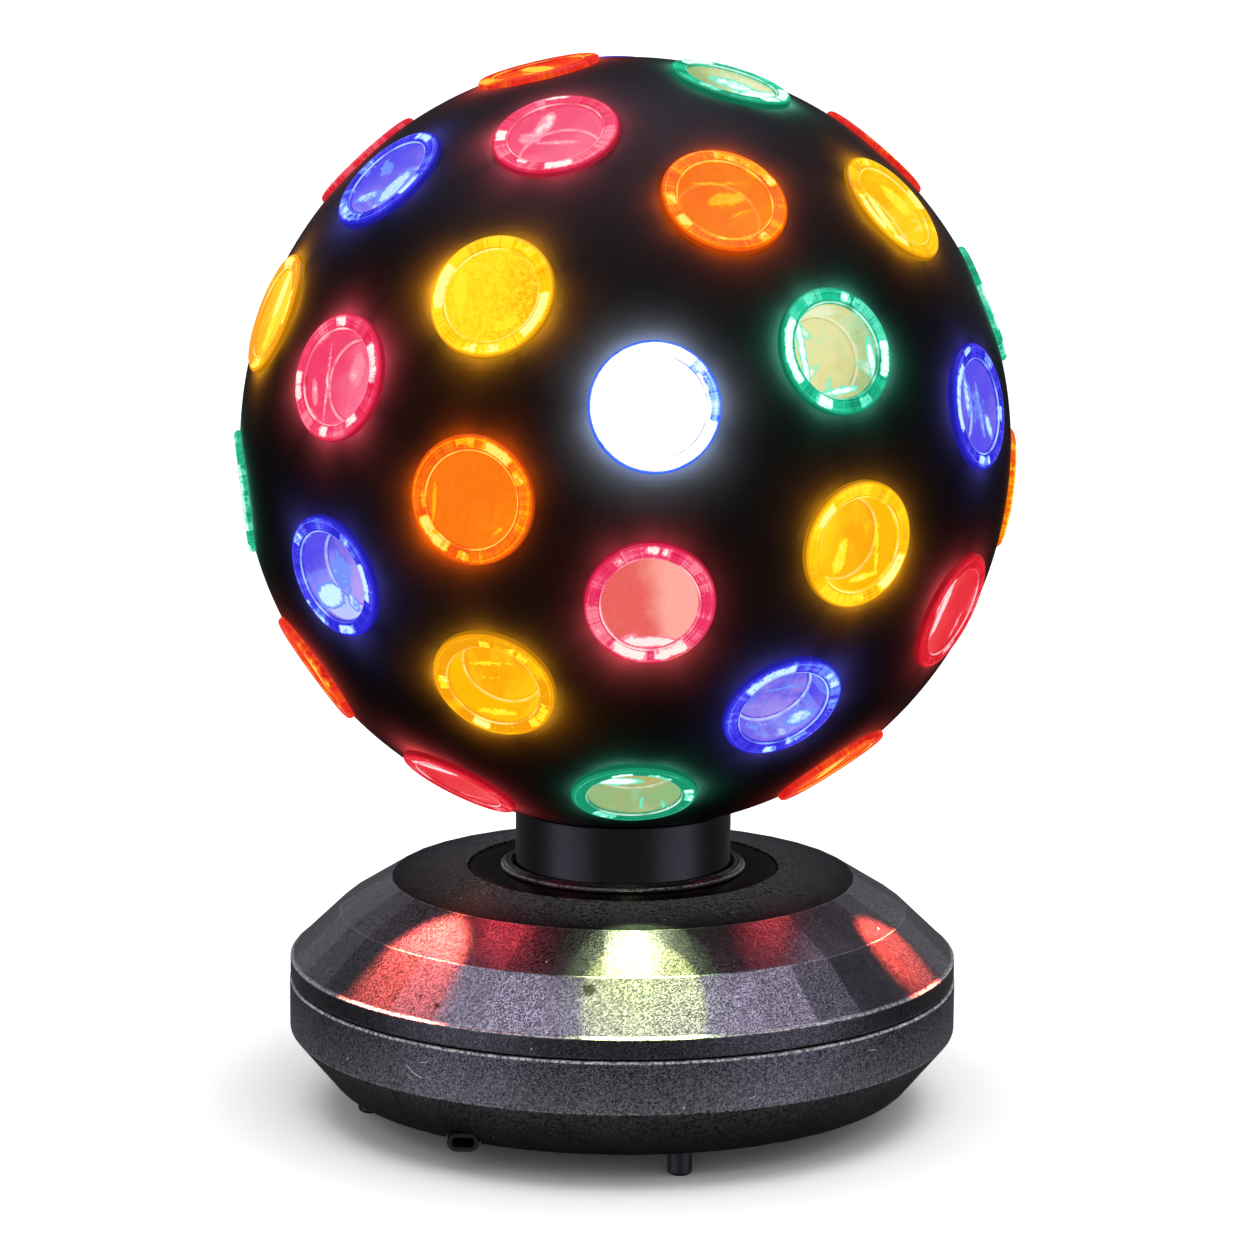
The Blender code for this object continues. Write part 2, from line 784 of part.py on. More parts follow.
def motor_ear_places():
    """The centres of the motor's two screw ears."""
    centre = point_at(MOTOR_AZIMUTH, floor_parts_circle)
    along = point_at(MOTOR_AZIMUTH + 90, ear_span)
    return [centre + along, centre - along]


def board_centre():
    return point_at(BOARD_CENTRE_AZIMUTH, floor_parts_circle)


def make_lower_shell():
    wall_in = BASE_RADIUS - SHELL_WALL
    profile = [
        (0, GROUND_CLEARANCE),
        (floor_radius - EDGE_ROUND, GROUND_CLEARANCE),
        (floor_radius + EDGE_ROUND * taper_slope_share, GROUND_CLEARANCE + EDGE_ROUND),
        (BASE_RADIUS, taper_top),
        (BASE_RADIUS, seam),
        (wall_in, seam),
        (wall_in, taper_top + EDGE_ROUND),
        (tub_radius, floor_top),
        (0, floor_top),
    ]
    mesh = turned("base_lower_shell", profile, LOWER_STEPS, smooth_angle=20.0)
    shell = body("base_lower_shell", mesh, grained_plastic())
    screws = [point_at(azimuth, screw_circle) for azimuth in SCREW_AZIMUTHS]
    feet = [point_at(azimuth, foot_circle) for azimuth in FOOT_AZIMUTHS]
    ears = motor_ear_places()
    sunk = floor_top - JOIN
    boss_top = floor_top + BOSS_HEIGHT
    ear_boss_top = ear_top - EAR_THICKNESS - FIT_GAP
    board_shift = Vector((0, BOARD_LENGTH * BOARD_BOSS_SHARE, 0))
    stands = [board_centre() + board_shift, board_centre() - board_shift]
    raised = (
        ("tower", [(0, 0)], tower_radius, tower_top, TOWER_STEPS),
        ("screw_bosses", screws, BOSS_RADIUS, boss_top, BOSS_STEPS),
        ("motor_bosses", ears, MOTOR_BOSS_RADIUS, ear_boss_top, SCREW_STEPS),
        ("board_stands", stands, BOARD_BOSS_RADIUS, floor_top + BOARD_STAND, SCREW_STEPS),
    )
    for name, places, radius, top, steps in raised:
        join(shell, tool(name, cylinders(name, places, radius, sunk, top, steps)))
    below = GROUND_CLEARANCE - OVERRUN
    head_seat = boss_top - BOSS_SEAT
    head_hole = SCREW_HEAD_RADIUS + FIT_GAP
    pilot_bottom = ear_top + FIT_GAP - MOTOR_SCREW_REACH - RUN_GAP
    foot_hole = FOOT_NECK_RADIUS + FIT_GAP
    bores = (
        ("tower_bore", [(0, 0)], tower_bore, floor_top, tower_top + OVERRUN, POST_TUBE_STEPS),
        ("head_wells", screws, head_hole, below, head_seat, BOSS_STEPS),
        ("screw_bores", screws, screw_hole, below, boss_top + OVERRUN, SCREW_STEPS),
        ("ear_pilots", ears, screw_hole, pilot_bottom, ear_boss_top + OVERRUN, SCREW_STEPS),
        ("foot_holes", feet, foot_hole, below, floor_top + OVERRUN, FOOT_STEPS),
    )
    for name, places, radius, bottom, top, steps in bores:
        cut(shell, tool(name, cylinders(name, places, radius, bottom, top, steps)))
    cut(shell, tool("cord_notch", notch_mesh()))


def make_top_plate():
    outer = tier_radii[-1] - GROOVE_WIDTH
    profile = [
        (sleeve_radius, plate_top - PLATE_THICKNESS),
        (outer, plate_top - PLATE_THICKNESS),
        (outer, plate_top),
        (sleeve_radius, plate_top),
    ]
    body("top_plate", turned("top_plate", profile, NECK_STEPS), satin_plastic())


def make_collar_ring():
    inner = sleeve_radius + FIT_GAP
    outer = inner + COLLAR_WIDTH
    bottom = plate_top + FIT_GAP
    top = bottom + COLLAR_HEIGHT
    profile = [
        (inner, bottom),
        (outer, bottom),
        (outer, top - COLLAR_BEVEL),
        (outer - COLLAR_BEVEL, top),
        (inner, top),
    ]
    body("collar_ring", turned("collar_ring", profile, NECK_STEPS), grained_plastic())


# Small parts of the base
def make_feet():
    head_bottom = floor_top + FIT_GAP
    head_top = head_bottom + FOOT_HEAD_HEIGHT
    shoulder = GROUND_CLEARANCE - FIT_GAP
    profile = [
        (0, 0),
        (FOOT_RADIUS - FOOT_ROUND, 0),
        (FOOT_RADIUS, FOOT_ROUND),
        (FOOT_RADIUS, shoulder),
        (FOOT_NECK_RADIUS, shoulder),
        (FOOT_NECK_RADIUS, head_bottom),
        (FOOT_RADIUS, head_bottom),
        (FOOT_NECK_RADIUS, head_top),
        (0, head_top),
    ]
    mesh = turned("foot", profile, FOOT_STEPS)
    for number, azimuth in enumerate(FOOT_AZIMUTHS, 1):
        foot = body(f"foot_{number}", mesh, foot_rubber())
        foot.location = point_at(azimuth, foot_circle)


def screw_mesh(name, reach):
    """A pan-head screw whose head sits on z = 0 and whose shank points down."""
    profile = [
        (0, SCREW_HEAD_HEIGHT),
        (SCREW_HEAD_RADIUS * SCREW_CROWN_SHARE, SCREW_HEAD_HEIGHT),
        (SCREW_HEAD_RADIUS, 0),
        (SCREW_RADIUS, 0),
        (SCREW_RADIUS, SCREW_RADIUS - reach),
        (0, -reach),
    ]
    return turned(name, profile, SCREW_STEPS)


def make_base_screws():
    head_seat = floor_top + BOSS_HEIGHT - BOSS_SEAT
    mesh = screw_mesh("base_screw", BOSS_SEAT + FIT_GAP + SCREW_REACH)
    for number, azimuth in enumerate(SCREW_AZIMUTHS, 1):
        screw = body(f"base_screw_{number}", mesh, zinc_steel())
        screw.location = point_at(azimuth, screw_circle, head_seat - FIT_GAP)
        screw.rotation_euler = (math.pi, 0.0, 0.0)


def make_grommet():
    centre = grommet_centre()
    outline = oval(GROMMET_WIDTH, GROMMET_HEIGHT)
    slot = oval(GROMMET_BORE_WIDTH, GROMMET_BORE_HEIGHT)
    ends = (0, GROMMET_LENGTH)
    mesh = lofted("cord_grommet", [[(x, y, z) for x, z in outline] for y in ends])
    grommet = body("cord_grommet", mesh, foot_rubber())
    grommet.location = centre
    through = (-OVERRUN, GROMMET_LENGTH + OVERRUN)
    bore = tool("grommet_bore", lofted("bore", [[(x, y, z) for x, z in slot] for y in through]))
    bore.location = centre
    cut(grommet, bore)


def make_motor():
    """The gear motor's can with its two screw ears and a blind, off-centre shaft bore."""
    centre = point_at(MOTOR_AZIMUTH, floor_parts_circle)
    bottom = motor_top - MOTOR_HEIGHT
    profile = [
        (0, bottom),
        (motor_radius - MOTOR_EDGE, bottom),
        (motor_radius, bottom + MOTOR_EDGE),
        (motor_radius, motor_top - MOTOR_EDGE),
        (motor_radius - MOTOR_EDGE, motor_top),
        (0, motor_top),
    ]
    motor = body("gear_motor", turned("gear_motor", profile, MOTOR_STEPS), zinc_steel())
    motor.location = centre
    ear_line = oval(2 * (ear_span + EAR_RADIUS), 2 * EAR_RADIUS)
    ears = tool("motor_ears", prism("motor_ears", ear_line, ear_top - EAR_THICKNESS, ear_top))
    ears.location = centre
    ears.rotation_euler = (0.0, 0.0, math.radians(MOTOR_AZIMUTH + 90) - math.pi / 2)
    join(motor, ears)
    well = motor_top - SHAFT_SEAT
    bore_radius = SHAFT_RADIUS + FIT_GAP
    over = motor_top + OVERRUN
    shaft_place = point_at(MOTOR_AZIMUTH, gear_centre_distance)
    bore = cylinders("shaft_bore", [shaft_place], bore_radius, well, over, SHAFT_STEPS)
    cut(motor, tool("shaft_bore", bore))
    low = ear_top - EAR_THICKNESS - OVERRUN
    holes = cylinders("ear_holes", motor_ear_places(), screw_hole, low, over, SCREW_STEPS)
    cut(motor, tool("ear_holes", holes))


def make_motor_screws():
    mesh = screw_mesh("motor_screw", MOTOR_SCREW_REACH)
    for number, place in enumerate(motor_ear_places(), 1):
        screw = body(f"motor_screw_{number}", mesh, zinc_steel())
        screw.location = (place.x, place.y, ear_top + FIT_GAP)


def make_driver_board():
    centre = board_centre()
    low = floor_top + BOARD_STAND + FIT_GAP
    middle = Vector((centre.x, centre.y, low + BOARD_THICKNESS / 2))
    sheet = boxes("driver_board", [((BOARD_WIDTH, BOARD_LENGTH, BOARD_THICKNESS), middle)])
    board = body("driver_board", sheet, finish("circuit_board", (0.02, 0.16, 0.07), 0.45))
    parts = []
    for across, along, width, length, height in BOARD_PARTS:
        tall = height + JOIN
        size = (BOARD_WIDTH * width, BOARD_LENGTH * length, tall)
        shift = (BOARD_WIDTH * across, BOARD_LENGTH * along, BOARD_THICKNESS / 2 - JOIN + tall / 2)
        parts.append((size, middle + Vector(shift)))
    join(board, tool("board_parts", boxes("board_parts", parts)))


# Lamp post and light head
def make_lamp_post():
    bottom = floor_top + FIT_GAP
    bore = POST_TUBE_RADIUS - POST_TUBE_WALL
    profile = [
        (bore, bottom),
        (POST_TUBE_RADIUS, bottom),
        (POST_TUBE_RADIUS, post_tube_top),
        (bore, post_tube_top),
    ]
    steel = finish("post_steel", (0.50, 0.50, 0.52), 0.35, metallic=1.0)
    body("lamp_post", turned("lamp_post", profile, POST_TUBE_STEPS), steel)


def make_bearing_bush():
    inner = POST_TUBE_RADIUS + FIT_GAP
    bottom = tower_top + FIT_GAP
    profile = [
        (inner, bottom),
        (bush_radius + BUSH_FLANGE, bottom),
        (bush_radius + BUSH_FLANGE, bush_top),
        (bush_radius, bush_top),
        (bush_radius, hub_floor_top + BUSH_RISE),
        (inner, hub_floor_top + BUSH_RISE),
    ]
    mesh = turned("bearing_bush", profile, POST_TUBE_STEPS)
    body("bearing_bush", mesh, bearing_plastic())


def make_light_head():
    """A six-sided block that stands on the post with a spigot in its bore."""
    azimuths = [LED_AZIMUTHS[0] + 30 + 60 * corner for corner in range(6)]
    outline = [tuple(point_at(azimuth, HEAD_RADIUS))[:2] for azimuth in azimuths]
    bottom = post_tube_top + FIT_GAP
    mesh = prism("light_head", outline, bottom, bottom + HEAD_HEIGHT)
    aluminium = finish("heat_sink", (0.75, 0.76, 0.78), 0.40, metallic=1.0)
    head = body("light_head", mesh, aluminium)
    radius = POST_TUBE_RADIUS - POST_TUBE_WALL - FIT_GAP
    low = bottom - HEAD_SPIGOT
    spigot = cylinders("head_spigot", [(0, 0)], radius, low, bottom + JOIN, POST_TUBE_STEPS)
    join(head, tool("head_spigot", spigot))


def make_leds():
    width_share, height_share = LED_DOME_SHARES
    profile = [
        (0, 0),
        (LED_BOARD_RADIUS, 0),
        (LED_BOARD_RADIUS, LED_BOARD_THICKNESS),
        (LED_DOME_RADIUS, LED_BOARD_THICKNESS),
        (LED_DOME_RADIUS * width_share, LED_BOARD_THICKNESS + LED_DOME_HEIGHT * height_share),
        (0, LED_BOARD_THICKNESS + LED_DOME_HEIGHT),
    ]
    mesh = turned("led", profile, LED_STEPS)
    flat = HEAD_RADIUS * math.cos(math.radians(30)) + FIT_GAP
    for number, azimuth in enumerate(LED_AZIMUTHS, 1):
        led = body(f"led_{number}", mesh, finish("led", (1.0, 0.97, 0.90), 0.20, glow=4.0))
        led.location = point_at(azimuth, flat, head_centre)
        led.rotation_euler = lens_turn(azimuth, 0.0)


def main():
    clear_scene()
    ball_axis = axis_empty("ball_axis", (0, 0, ball_height))
    pinion_axis = axis_empty("pinion_axis", point_at(MOTOR_AZIMUTH, gear_centre_distance, motor_top))
    make_lower_shell()
    make_upper_shell()
    make_top_plate()
    make_collar_ring()
    make_feet()
    make_base_screws()
    make_grommet()
    make_motor()
    make_motor_screws()
    make_driver_board()
    make_lamp_post()
    make_bearing_bush()
    make_light_head()
    make_leds()
    make_ball_shell(ball_axis)
    make_neck_hub(ball_axis)
    make_lock_ring(ball_axis)
    make_ring_gear(ball_axis)
    make_front_lenses(ball_axis)
    make_lens_columns(ball_axis)
    make_pinion(pinion_axis)


main()
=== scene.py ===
import json
import math
from collections import namedtuple

import bmesh
import bpy
import numpy as np
from mathutils import Euler, Matrix, Vector

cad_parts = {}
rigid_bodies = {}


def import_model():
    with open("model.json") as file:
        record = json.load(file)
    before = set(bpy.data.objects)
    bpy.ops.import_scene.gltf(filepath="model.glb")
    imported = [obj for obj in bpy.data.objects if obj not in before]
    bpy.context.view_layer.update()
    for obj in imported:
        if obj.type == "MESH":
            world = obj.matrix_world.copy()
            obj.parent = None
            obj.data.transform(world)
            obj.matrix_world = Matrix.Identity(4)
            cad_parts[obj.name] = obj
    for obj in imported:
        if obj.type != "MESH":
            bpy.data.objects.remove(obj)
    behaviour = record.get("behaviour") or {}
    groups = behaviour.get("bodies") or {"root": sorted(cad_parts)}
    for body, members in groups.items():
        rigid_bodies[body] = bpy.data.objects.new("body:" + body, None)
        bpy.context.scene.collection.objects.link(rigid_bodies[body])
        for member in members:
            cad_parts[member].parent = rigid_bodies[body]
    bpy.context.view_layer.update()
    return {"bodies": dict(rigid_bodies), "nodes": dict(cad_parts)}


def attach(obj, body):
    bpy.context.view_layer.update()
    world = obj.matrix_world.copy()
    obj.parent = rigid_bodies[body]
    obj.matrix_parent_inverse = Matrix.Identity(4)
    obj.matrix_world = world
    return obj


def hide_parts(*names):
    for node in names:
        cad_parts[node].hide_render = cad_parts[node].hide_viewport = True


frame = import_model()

# Sizes in metres, as in the CAD. The front is -Y, and azimuths run from it towards +X.
MM = 0.001
BALL_RADIUS = 0.1
BALL_WALL = 0.002
BALL_CENTRE = Vector((0, 0, 0.176053))
BALL_DETAIL = 7
OPENING_RADIUS = 0.0255
GLOW_NEAR = 0.0012
GLOW_TAIL = 0.0036
GLOW_REACH = 0.03
GLOW_LEAN = 0.85
BRIGHTEST = 15
VENT_RADIUS = 0.0012

LENS_RADIUS = 0.0158
LENS_HOLE_RADIUS = 0.015
LENS_STEPS = 120

NECK_RADIUS = 0.0285
PLATE_TOP = 0.0636
SLEEVE_RADIUS = 0.0294
PLATE_RADIUS = 0.0413
GROOVE_WIDTH = 0.0007

BASE_RADIUS = 0.0884
GROUND_CLEARANCE = 0.0077
FLOOR_TOP = 0.0102
TAPER_TOP = 0.0218
SEAM = 0.0351
LIP_BOTTOM = 0.0355
RIM = 0.041
FLOOR_RADIUS = 0.0771
TUB_RADIUS = 0.0759
WALL_IN = 0.086
TIERS = ((0.0413, 0.0639), (0.06144, 0.0613), (0.07521, 0.0528), (0.0876, 0.041))
FACETS = 38
FACET_PHASE = -4
FACET_EDGE = 0.00035

FOOT_AZIMUTHS = (12.5, 102.5, 192.5, 282.5)
FOOT_CIRCLE = 0.068068
FOOT_RADIUS = 0.0031
SCREW_AZIMUTHS = (57.5, 177.5, 297.5)
SCREW_CIRCLE = 0.0660348
SCREW_HEAD_RADIUS = 0.0033
GROMMET_PLACE = Vector((-0.039552, -0.06906, 0.0084))

# Azimuth, latitude and colour of each lens seen from the front, counted from 1
FRONT_LENSES = (
    (-68, 75.8, "red"), (51, 70.5, "green"), (-18, 55.5, "red"), (-97, 47, "red"), (-57, 45, "blue"),
    (59.5, 40, "yellow"), (98, 49.5, "red"), (18.5, 42.5, "orange"), (-21, 27, "yellow"),
    (90.5, 22, "green"), (-72, 21.3, "yellow"), (32, 19, "green"), (-46, 14, "red"), (62.5, 9, "blue"),
    (4, 12, "blue"), (92.5, -6.5, "orange"), (-83, -6.5, "green"), (-21.3, -1.2, "orange"),
    (34.5, -8, "yellow"), (-47.5, -14.5, "blue"), (3.6, -15.2, "red"), (62, -21.3, "red"),
    (-21.2, -29.2, "yellow"), (27.8, -33.6, "blue"), (-74, -34, "red"), (-48, -55.6, "red"),
    (63, -53, "red"), (2.6, -53.5, "green"),
)

# Azimuth, then the latitude and colour of each lens, for the columns on the hidden side
HIDDEN_COLUMNS = (
    (123, ((-42, "green"), (-16, "yellow"), (9, "red"), (34, "blue"))),
    (156, ((-53, "red"), (-30, "orange"), (-4, "blue"), (22, "green"), (47.5, "red"))),
    (188, ((-42, "yellow"), (-16, "green"), (9, "orange"), (36, "yellow"), (71, "blue"))),
    (220, ((-53, "blue"), (-30, "red"), (-4, "yellow"), (22, "red"), (47.5, "green"))),
    (253, ((-58, "orange"), (-34, "blue"), (-8, "red"), (18, "orange"))),
)

# Lenses whose look differs from the plain one of their colour, by how their light shows
OTHER_LOOKS = {
    15: "white",
    21: "rose",
    **dict.fromkeys((4, 22, 26), "ruby"),
    **dict.fromkeys((1, 7, 25, 27), "ember"),
}

# Linear colours of each look: four on a lens's ring, two on its disc and two on the ball round it
Look = namedtuple("Look", "deep ring bright hot inner light near tail")
LENS_LOOKS = {
    "red": Look((0.8, 0.012, 0.06), (0.92, 0.05, 0.15), (1.04, 0.26, 0.36), (1.15, 0.9, 0.86),
        (0.9, 0.05, 0.15), (1, 0.2, 0.33), (0.22, 0.014, 0.036), (0.27, 0.034, 0.038)),
    "rose": Look((0.72, 0.01, 0.055), (0.88, 0.04, 0.15), (1.02, 0.24, 0.33), (1.15, 0.88, 0.84),
        (0.82, 0.12, 0.1), (1, 0.42, 0.35), (0.11, 0.001, 0.006), (0.21, 0.028, 0.029)),
    "ruby": Look((0.66, 0.006, 0.018), (0.84, 0.018, 0.04), (1, 0.13, 0.18), (1.12, 0.72, 0.74),
        (0.8, 0.035, 0.045), (0.94, 0.11, 0.12), (0.12, 0.006, 0.007), (0.3, 0.03, 0.033)),
    "ember": Look((0.7, 0.01, 0.008), (0.9, 0.032, 0.014), (1, 0.115, 0.008), (1.12, 0.66, 0.045),
        (0.92, 0.05, 0.01), (1, 0.19, 0.01), (0.12, 0.006, 0.003), (0.28, 0.028, 0.02)),
    "orange": Look((0.92, 0.09, 0), (1, 0.19, 0), (1.06, 0.48, 0), (1.2, 0.86, 0.16), (0.98, 0.17, 0),
        (1.04, 0.28, 0), (0.32, 0.038, 0), (0.17, 0.025, 0)),
    "yellow": Look((0.94, 0.36, 0), (1.02, 0.62, 0), (1.12, 0.86, 0.02), (1.25, 1.06, 0.32), (1, 0.4, 0),
        (1.06, 0.68, 0.006), (0.36, 0.175, 0.01), (0.205, 0.062, 0.001)),
    "green": Look((0.006, 0.3, 0.15), (0.014, 0.6, 0.33), (0.14, 0.9, 0.62), (0.94, 1.15, 1.04),
        (0.44, 0.44, 0.155), (0.82, 0.78, 0.36), (0.044, 0.175, 0.125), (0.006, 0.058, 0.034)),
    "blue": Look((0.022, 0.018, 0.68), (0.07, 0.05, 0.92), (0.17, 0.3, 1.05), (0.62, 0.92, 1.2),
        (0.13, 0.1, 0.8), (0.46, 0.34, 0.92), (0.001, 0.001, 0.12), (0.026, 0.023, 0.105)),
    "white": Look((0.03, 0.12, 0.95), (0.28, 0.62, 1.2), (0.95, 1.15, 1.35), (1.5, 1.5, 1.5),
        (1.6, 1.6, 1.6), (1.9, 1.95, 2), (0.04, 0.07, 0.17), (0.075, 0.082, 0.094)),
}

# Where a lens's ring is brightest: angle, width (degrees), inner and outer radius (mm), strength
RING_LIGHTS = {
    1: ((90, 50, 11.6, 14.6, 0.6), (-90, 60, 11.6, 14.6, 0.75)),
    2: ((-166, 30, 11.8, 15.2, 0.6), (84, 48, 12, 14.6, 1), (-54, 46, 12.2, 15, 1),
        (-92, 26, 11.8, 14.8, 0.9)),
    3: ((104, 26, 13.8, 15.2, 0.9), (-173, 19, 12.2, 15, 0.9), (-113, 16, 11.8, 13.6, 1),
        (-71, 29, 11.8, 14.8, 1)),
    4: ((-20, 60, 12, 14.4, 0.6),),
    5: ((-8, 30, 11.8, 14.4, 1), (-110, 70, 12.2, 15, 0.65), (82, 33, 12.8, 15, 0.9),
        (168, 18, 12, 14.6, 0.7)),
    6: ((-176, 46, 11.8, 14.8, 1), (-132, 22, 11.8, 14.4, 0.9), (5, 28, 11.8, 14.4, 0.9),
        (92, 26, 12.6, 15, 0.6)),
    7: ((180, 60, 11.8, 14.6, 0.6),),
    8: ((69, 39, 12.2, 14.6, 0.6), (27, 23, 12.6, 15.2, 0.7), (180, 14, 12.2, 15, 0.7),
        (-152, 18, 12, 14.8, 0.95), (-98, 70, 11.7, 12.9, 0.75), (-60, 16, 12.4, 15, 0.6)),
    9: ((172, 50, 11.9, 14.8, 1), (-20, 52, 11.9, 14.8, 1), (-90, 40, 12.4, 15, 0.75),
        (62, 24, 12.6, 15, 0.6)),
    10: ((180, 50, 11.8, 15, 0.9), (-130, 26, 11.8, 15, 0.9)),
    11: ((96, 34, 11.8, 14.8, 0.9), (10, 40, 11.8, 14.4, 0.9), (-80, 30, 12.2, 15, 0.7)),
    12: ((177, 70, 12.6, 14.9, 1), (-11, 39, 12.6, 15.1, 1), (63, 23, 12.4, 15.2, 0.65),
        (-117, 20, 12.2, 15.2, 0.95), (112, 14, 12.6, 15, 0.6), (-66, 18, 12.6, 15, 0.6)),
    13: ((20, 44, 11.8, 14.4, 1), (-166, 32, 12.8, 15.2, 0.95), (-51, 18, 11.8, 14.2, 1),
        (98, 16, 12.4, 15, 0.9), (-95, 14, 12.2, 15, 0.8)),
    14: ((164, 78, 11.8, 14.4, 1), (-14, 19, 11.7, 13.6, 1), (105, 18, 13.8, 15.4, 0.9),
        (-97, 30, 12.4, 14.8, 0.8), (50, 20, 12.2, 15, 0.65)),
    15: ((115, 130, 11.4, 15.3, 1), (-100, 170, 11.4, 15.3, 1), (8, 60, 11.4, 13.2, 1)),
    16: ((180, 110, 11.8, 15, 0.9),),
    17: ((0, 70, 11.8, 15, 0.95), (70, 16, 12, 15, 0.7), (-64, 16, 12, 15, 0.95)),
    18: ((58, 33, 12.2, 14.9, 0.95), (-139, 44, 11.8, 14.6, 1), (26, 17, 12, 14.4, 0.65),
        (-100, 17, 12.4, 15, 0.7), (96, 22, 12.8, 15, 0.6), (178, 24, 12, 13, 0.6)),
    19: ((-36, 42, 12.2, 15, 0.95), (144, 30, 12, 14.6, 0.9), (-84, 16, 12, 14.4, 0.7)),
    20: ((140, 18, 12.6, 15.2, 0.8), (0, 45, 11.8, 14, 0.95), (-84, 25, 12.6, 15, 0.9),
        (-130, 37, 13.6, 15.2, 0.75), (52, 16, 12, 14.6, 0.65)),
    21: ((89, 14, 13, 15, 0.95), (76, 8, 13, 15, 0.8), (125, 10, 12.2, 14.6, 0.75),
        (-112, 40, 11.9, 14.8, 1), (-68, 36, 11.9, 14.8, 0.9), (-150, 12, 12.4, 15, 0.65)),
    22: ((150, 50, 11.8, 13.4, 0.9), (-60, 26, 11.8, 13.6, 0.9)),
    23: ((88, 13, 11.8, 14, 0.65), (50, 26, 12, 14.4, 0.65), (180, 20, 11.8, 14.4, 0.65),
        (-115, 20, 11.9, 14.4, 1), (-40, 40, 12.4, 15, 0.6)),
    24: ((124, 60, 11.8, 14.8, 0.95), (37, 24, 12.6, 15.2, 0.9), (-88, 15, 12.8, 15, 0.9),
        (-56, 28, 11.8, 13.6, 0.75), (0, 16, 12.2, 15, 0.65)),
    25: ((20, 60, 11.8, 14.6, 0.6),),
    26: ((95, 60, 11.8, 13.2, 0.95), (-70, 30, 12, 14.6, 0.6)),
    27: ((120, 50, 11.8, 14.4, 0.6),),
    28: ((62, 30, 11.8, 13.6, 0.7), (2, 30, 12.4, 15, 0.7), (106, 26, 11.8, 13.4, 1),
        (-120, 30, 12, 14.8, 0.65)),
}

# Light patches on a lens's disc: centre, half width, half height (mm), turn (degrees), strength
DISC_LIGHTS = {
    1: ((0, 0, 9, 2.6, 0, 1),),
    2: ((-1, -2, 4, 5.5, 20, 0.75), (0, -8.6, 7, 2, 0, 0.9)),
    3: ((-3.8, 3.4, 1.9, 4.8, -6, 0.72), (-6, -2, 2.8, 2.2, 0, 0.62), (1.5, -3.4, 5, 0.9, 6, 0.62)),
    4: ((0, 0, 3, 8, 0, 0.6),),
    5: ((-4, 3, 4, 2.2, -30, 0.55), (6.4, -2.4, 2.6, 5.2, -14, 1), (-2, -6.4, 4.5, 1.6, 20, 0.75)),
    6: ((-8.4, -2, 1.5, 6.5, 0, 0.8), (4, 2, 3, 5, 20, 0.6)),
    7: ((0, 0, 2, 8, 0, 0.8),),
    8: ((0.6, 0.4, 4.6, 2, 8, 0.56), (0, 5.2, 7, 0.5, 0, 0.6), (3.5, -4, 3.5, 0.5, 20, 0.55)),
    9: ((-8.4, 1, 1.8, 6, 10, 0.55), (5, -7, 4, 1.6, 30, 0.5)),
    10: ((-6, 0, 3, 8, 0, 0.7),),
    11: ((1, 5, 2.2, 6, 0, 0.95), (2, -5, 2.4, 5, 0, 0.6)),
    12: ((-9.6, 0, 0.9, 8, 0, 0.9), (9.8, -3, 0.9, 5.5, 0, 0.85), (-1, -9.8, 4.5, 0.8, 6, 0.85)),
    13: ((-3.5, -1.6, 0.5, 8.6, 6, 0.7), (6.5, 2, 2.6, 4, 0, 0.6), (-7.6, -4, 1.2, 3.4, 20, 0.6)),
    14: ((0.7, -1, 1, 7.3, 8, 0.6), (-6.5, 3, 1.4, 5, 0, 0.75), (5, -5.5, 1.4, 3, 20, 0.8)),
    15: ((0, 0, 14, 14, 0, 1.2),),
    16: ((0, 0, 3, 9, 0, 0.9),),
    17: ((3, 0, 2.4, 9, 0, 0.9),),
    18: ((-9.8, -1, 0.5, 5.6, -4, 0.55), (6.6, -7.2, 2.4, 0.5, 44, 0.5)),
    19: ((-5.1, -2.8, 1.6, 4.4, -12, 0.6), (5.6, -1, 0.6, 7, 6, 0.6), (2, -8.4, 4, 0.8, 10, 0.65)),
    20: ((3.8, 1.4, 4, 5.4, 0, 0.55), (-2.9, -5.4, 4.8, 2.8, 14, 0.95), (6, -6, 1.6, 2.6, 30, 0.7)),
    21: ((0, -10, 6.5, 1.2, 0, 0.9), (-5, -9, 2, 1, 30, 0.6)),
    22: ((-7.6, 2, 1.5, 7.4, -6, 0.95), (6.6, -4.6, 1, 3.6, -16, 0.7)),
    23: ((0.2, 6.6, 6.6, 0.6, 4, 0.55), (-1, -8.6, 5, 1, 0, 0.6), (0, 2.2, 3.6, 0.4, 6, 0.5)),
    24: ((-1.2, 6.6, 6, 0.6, 6, 0.6), (6, -4, 3.6, 2.4, 30, 0.75), (-6.6, -6, 2.6, 0.8, -30, 0.6)),
    25: ((0, 0, 1.9, 8.6, -30, 1),),
    26: ((1, 7.8, 7.6, 1.4, -6, 0.95), (-2, -8.6, 6, 0.8, 0, 0.6)),
    27: ((0, 0, 2.2, 8.4, 34, 1),),
    28: ((-4.4, 7.6, 5, 1.6, 0, 0.9), (2, -5.2, 0.5, 4.6, 0, 0.55), (7.4, -5.2, 0.5, 4.4, 8, 0.55)),
}

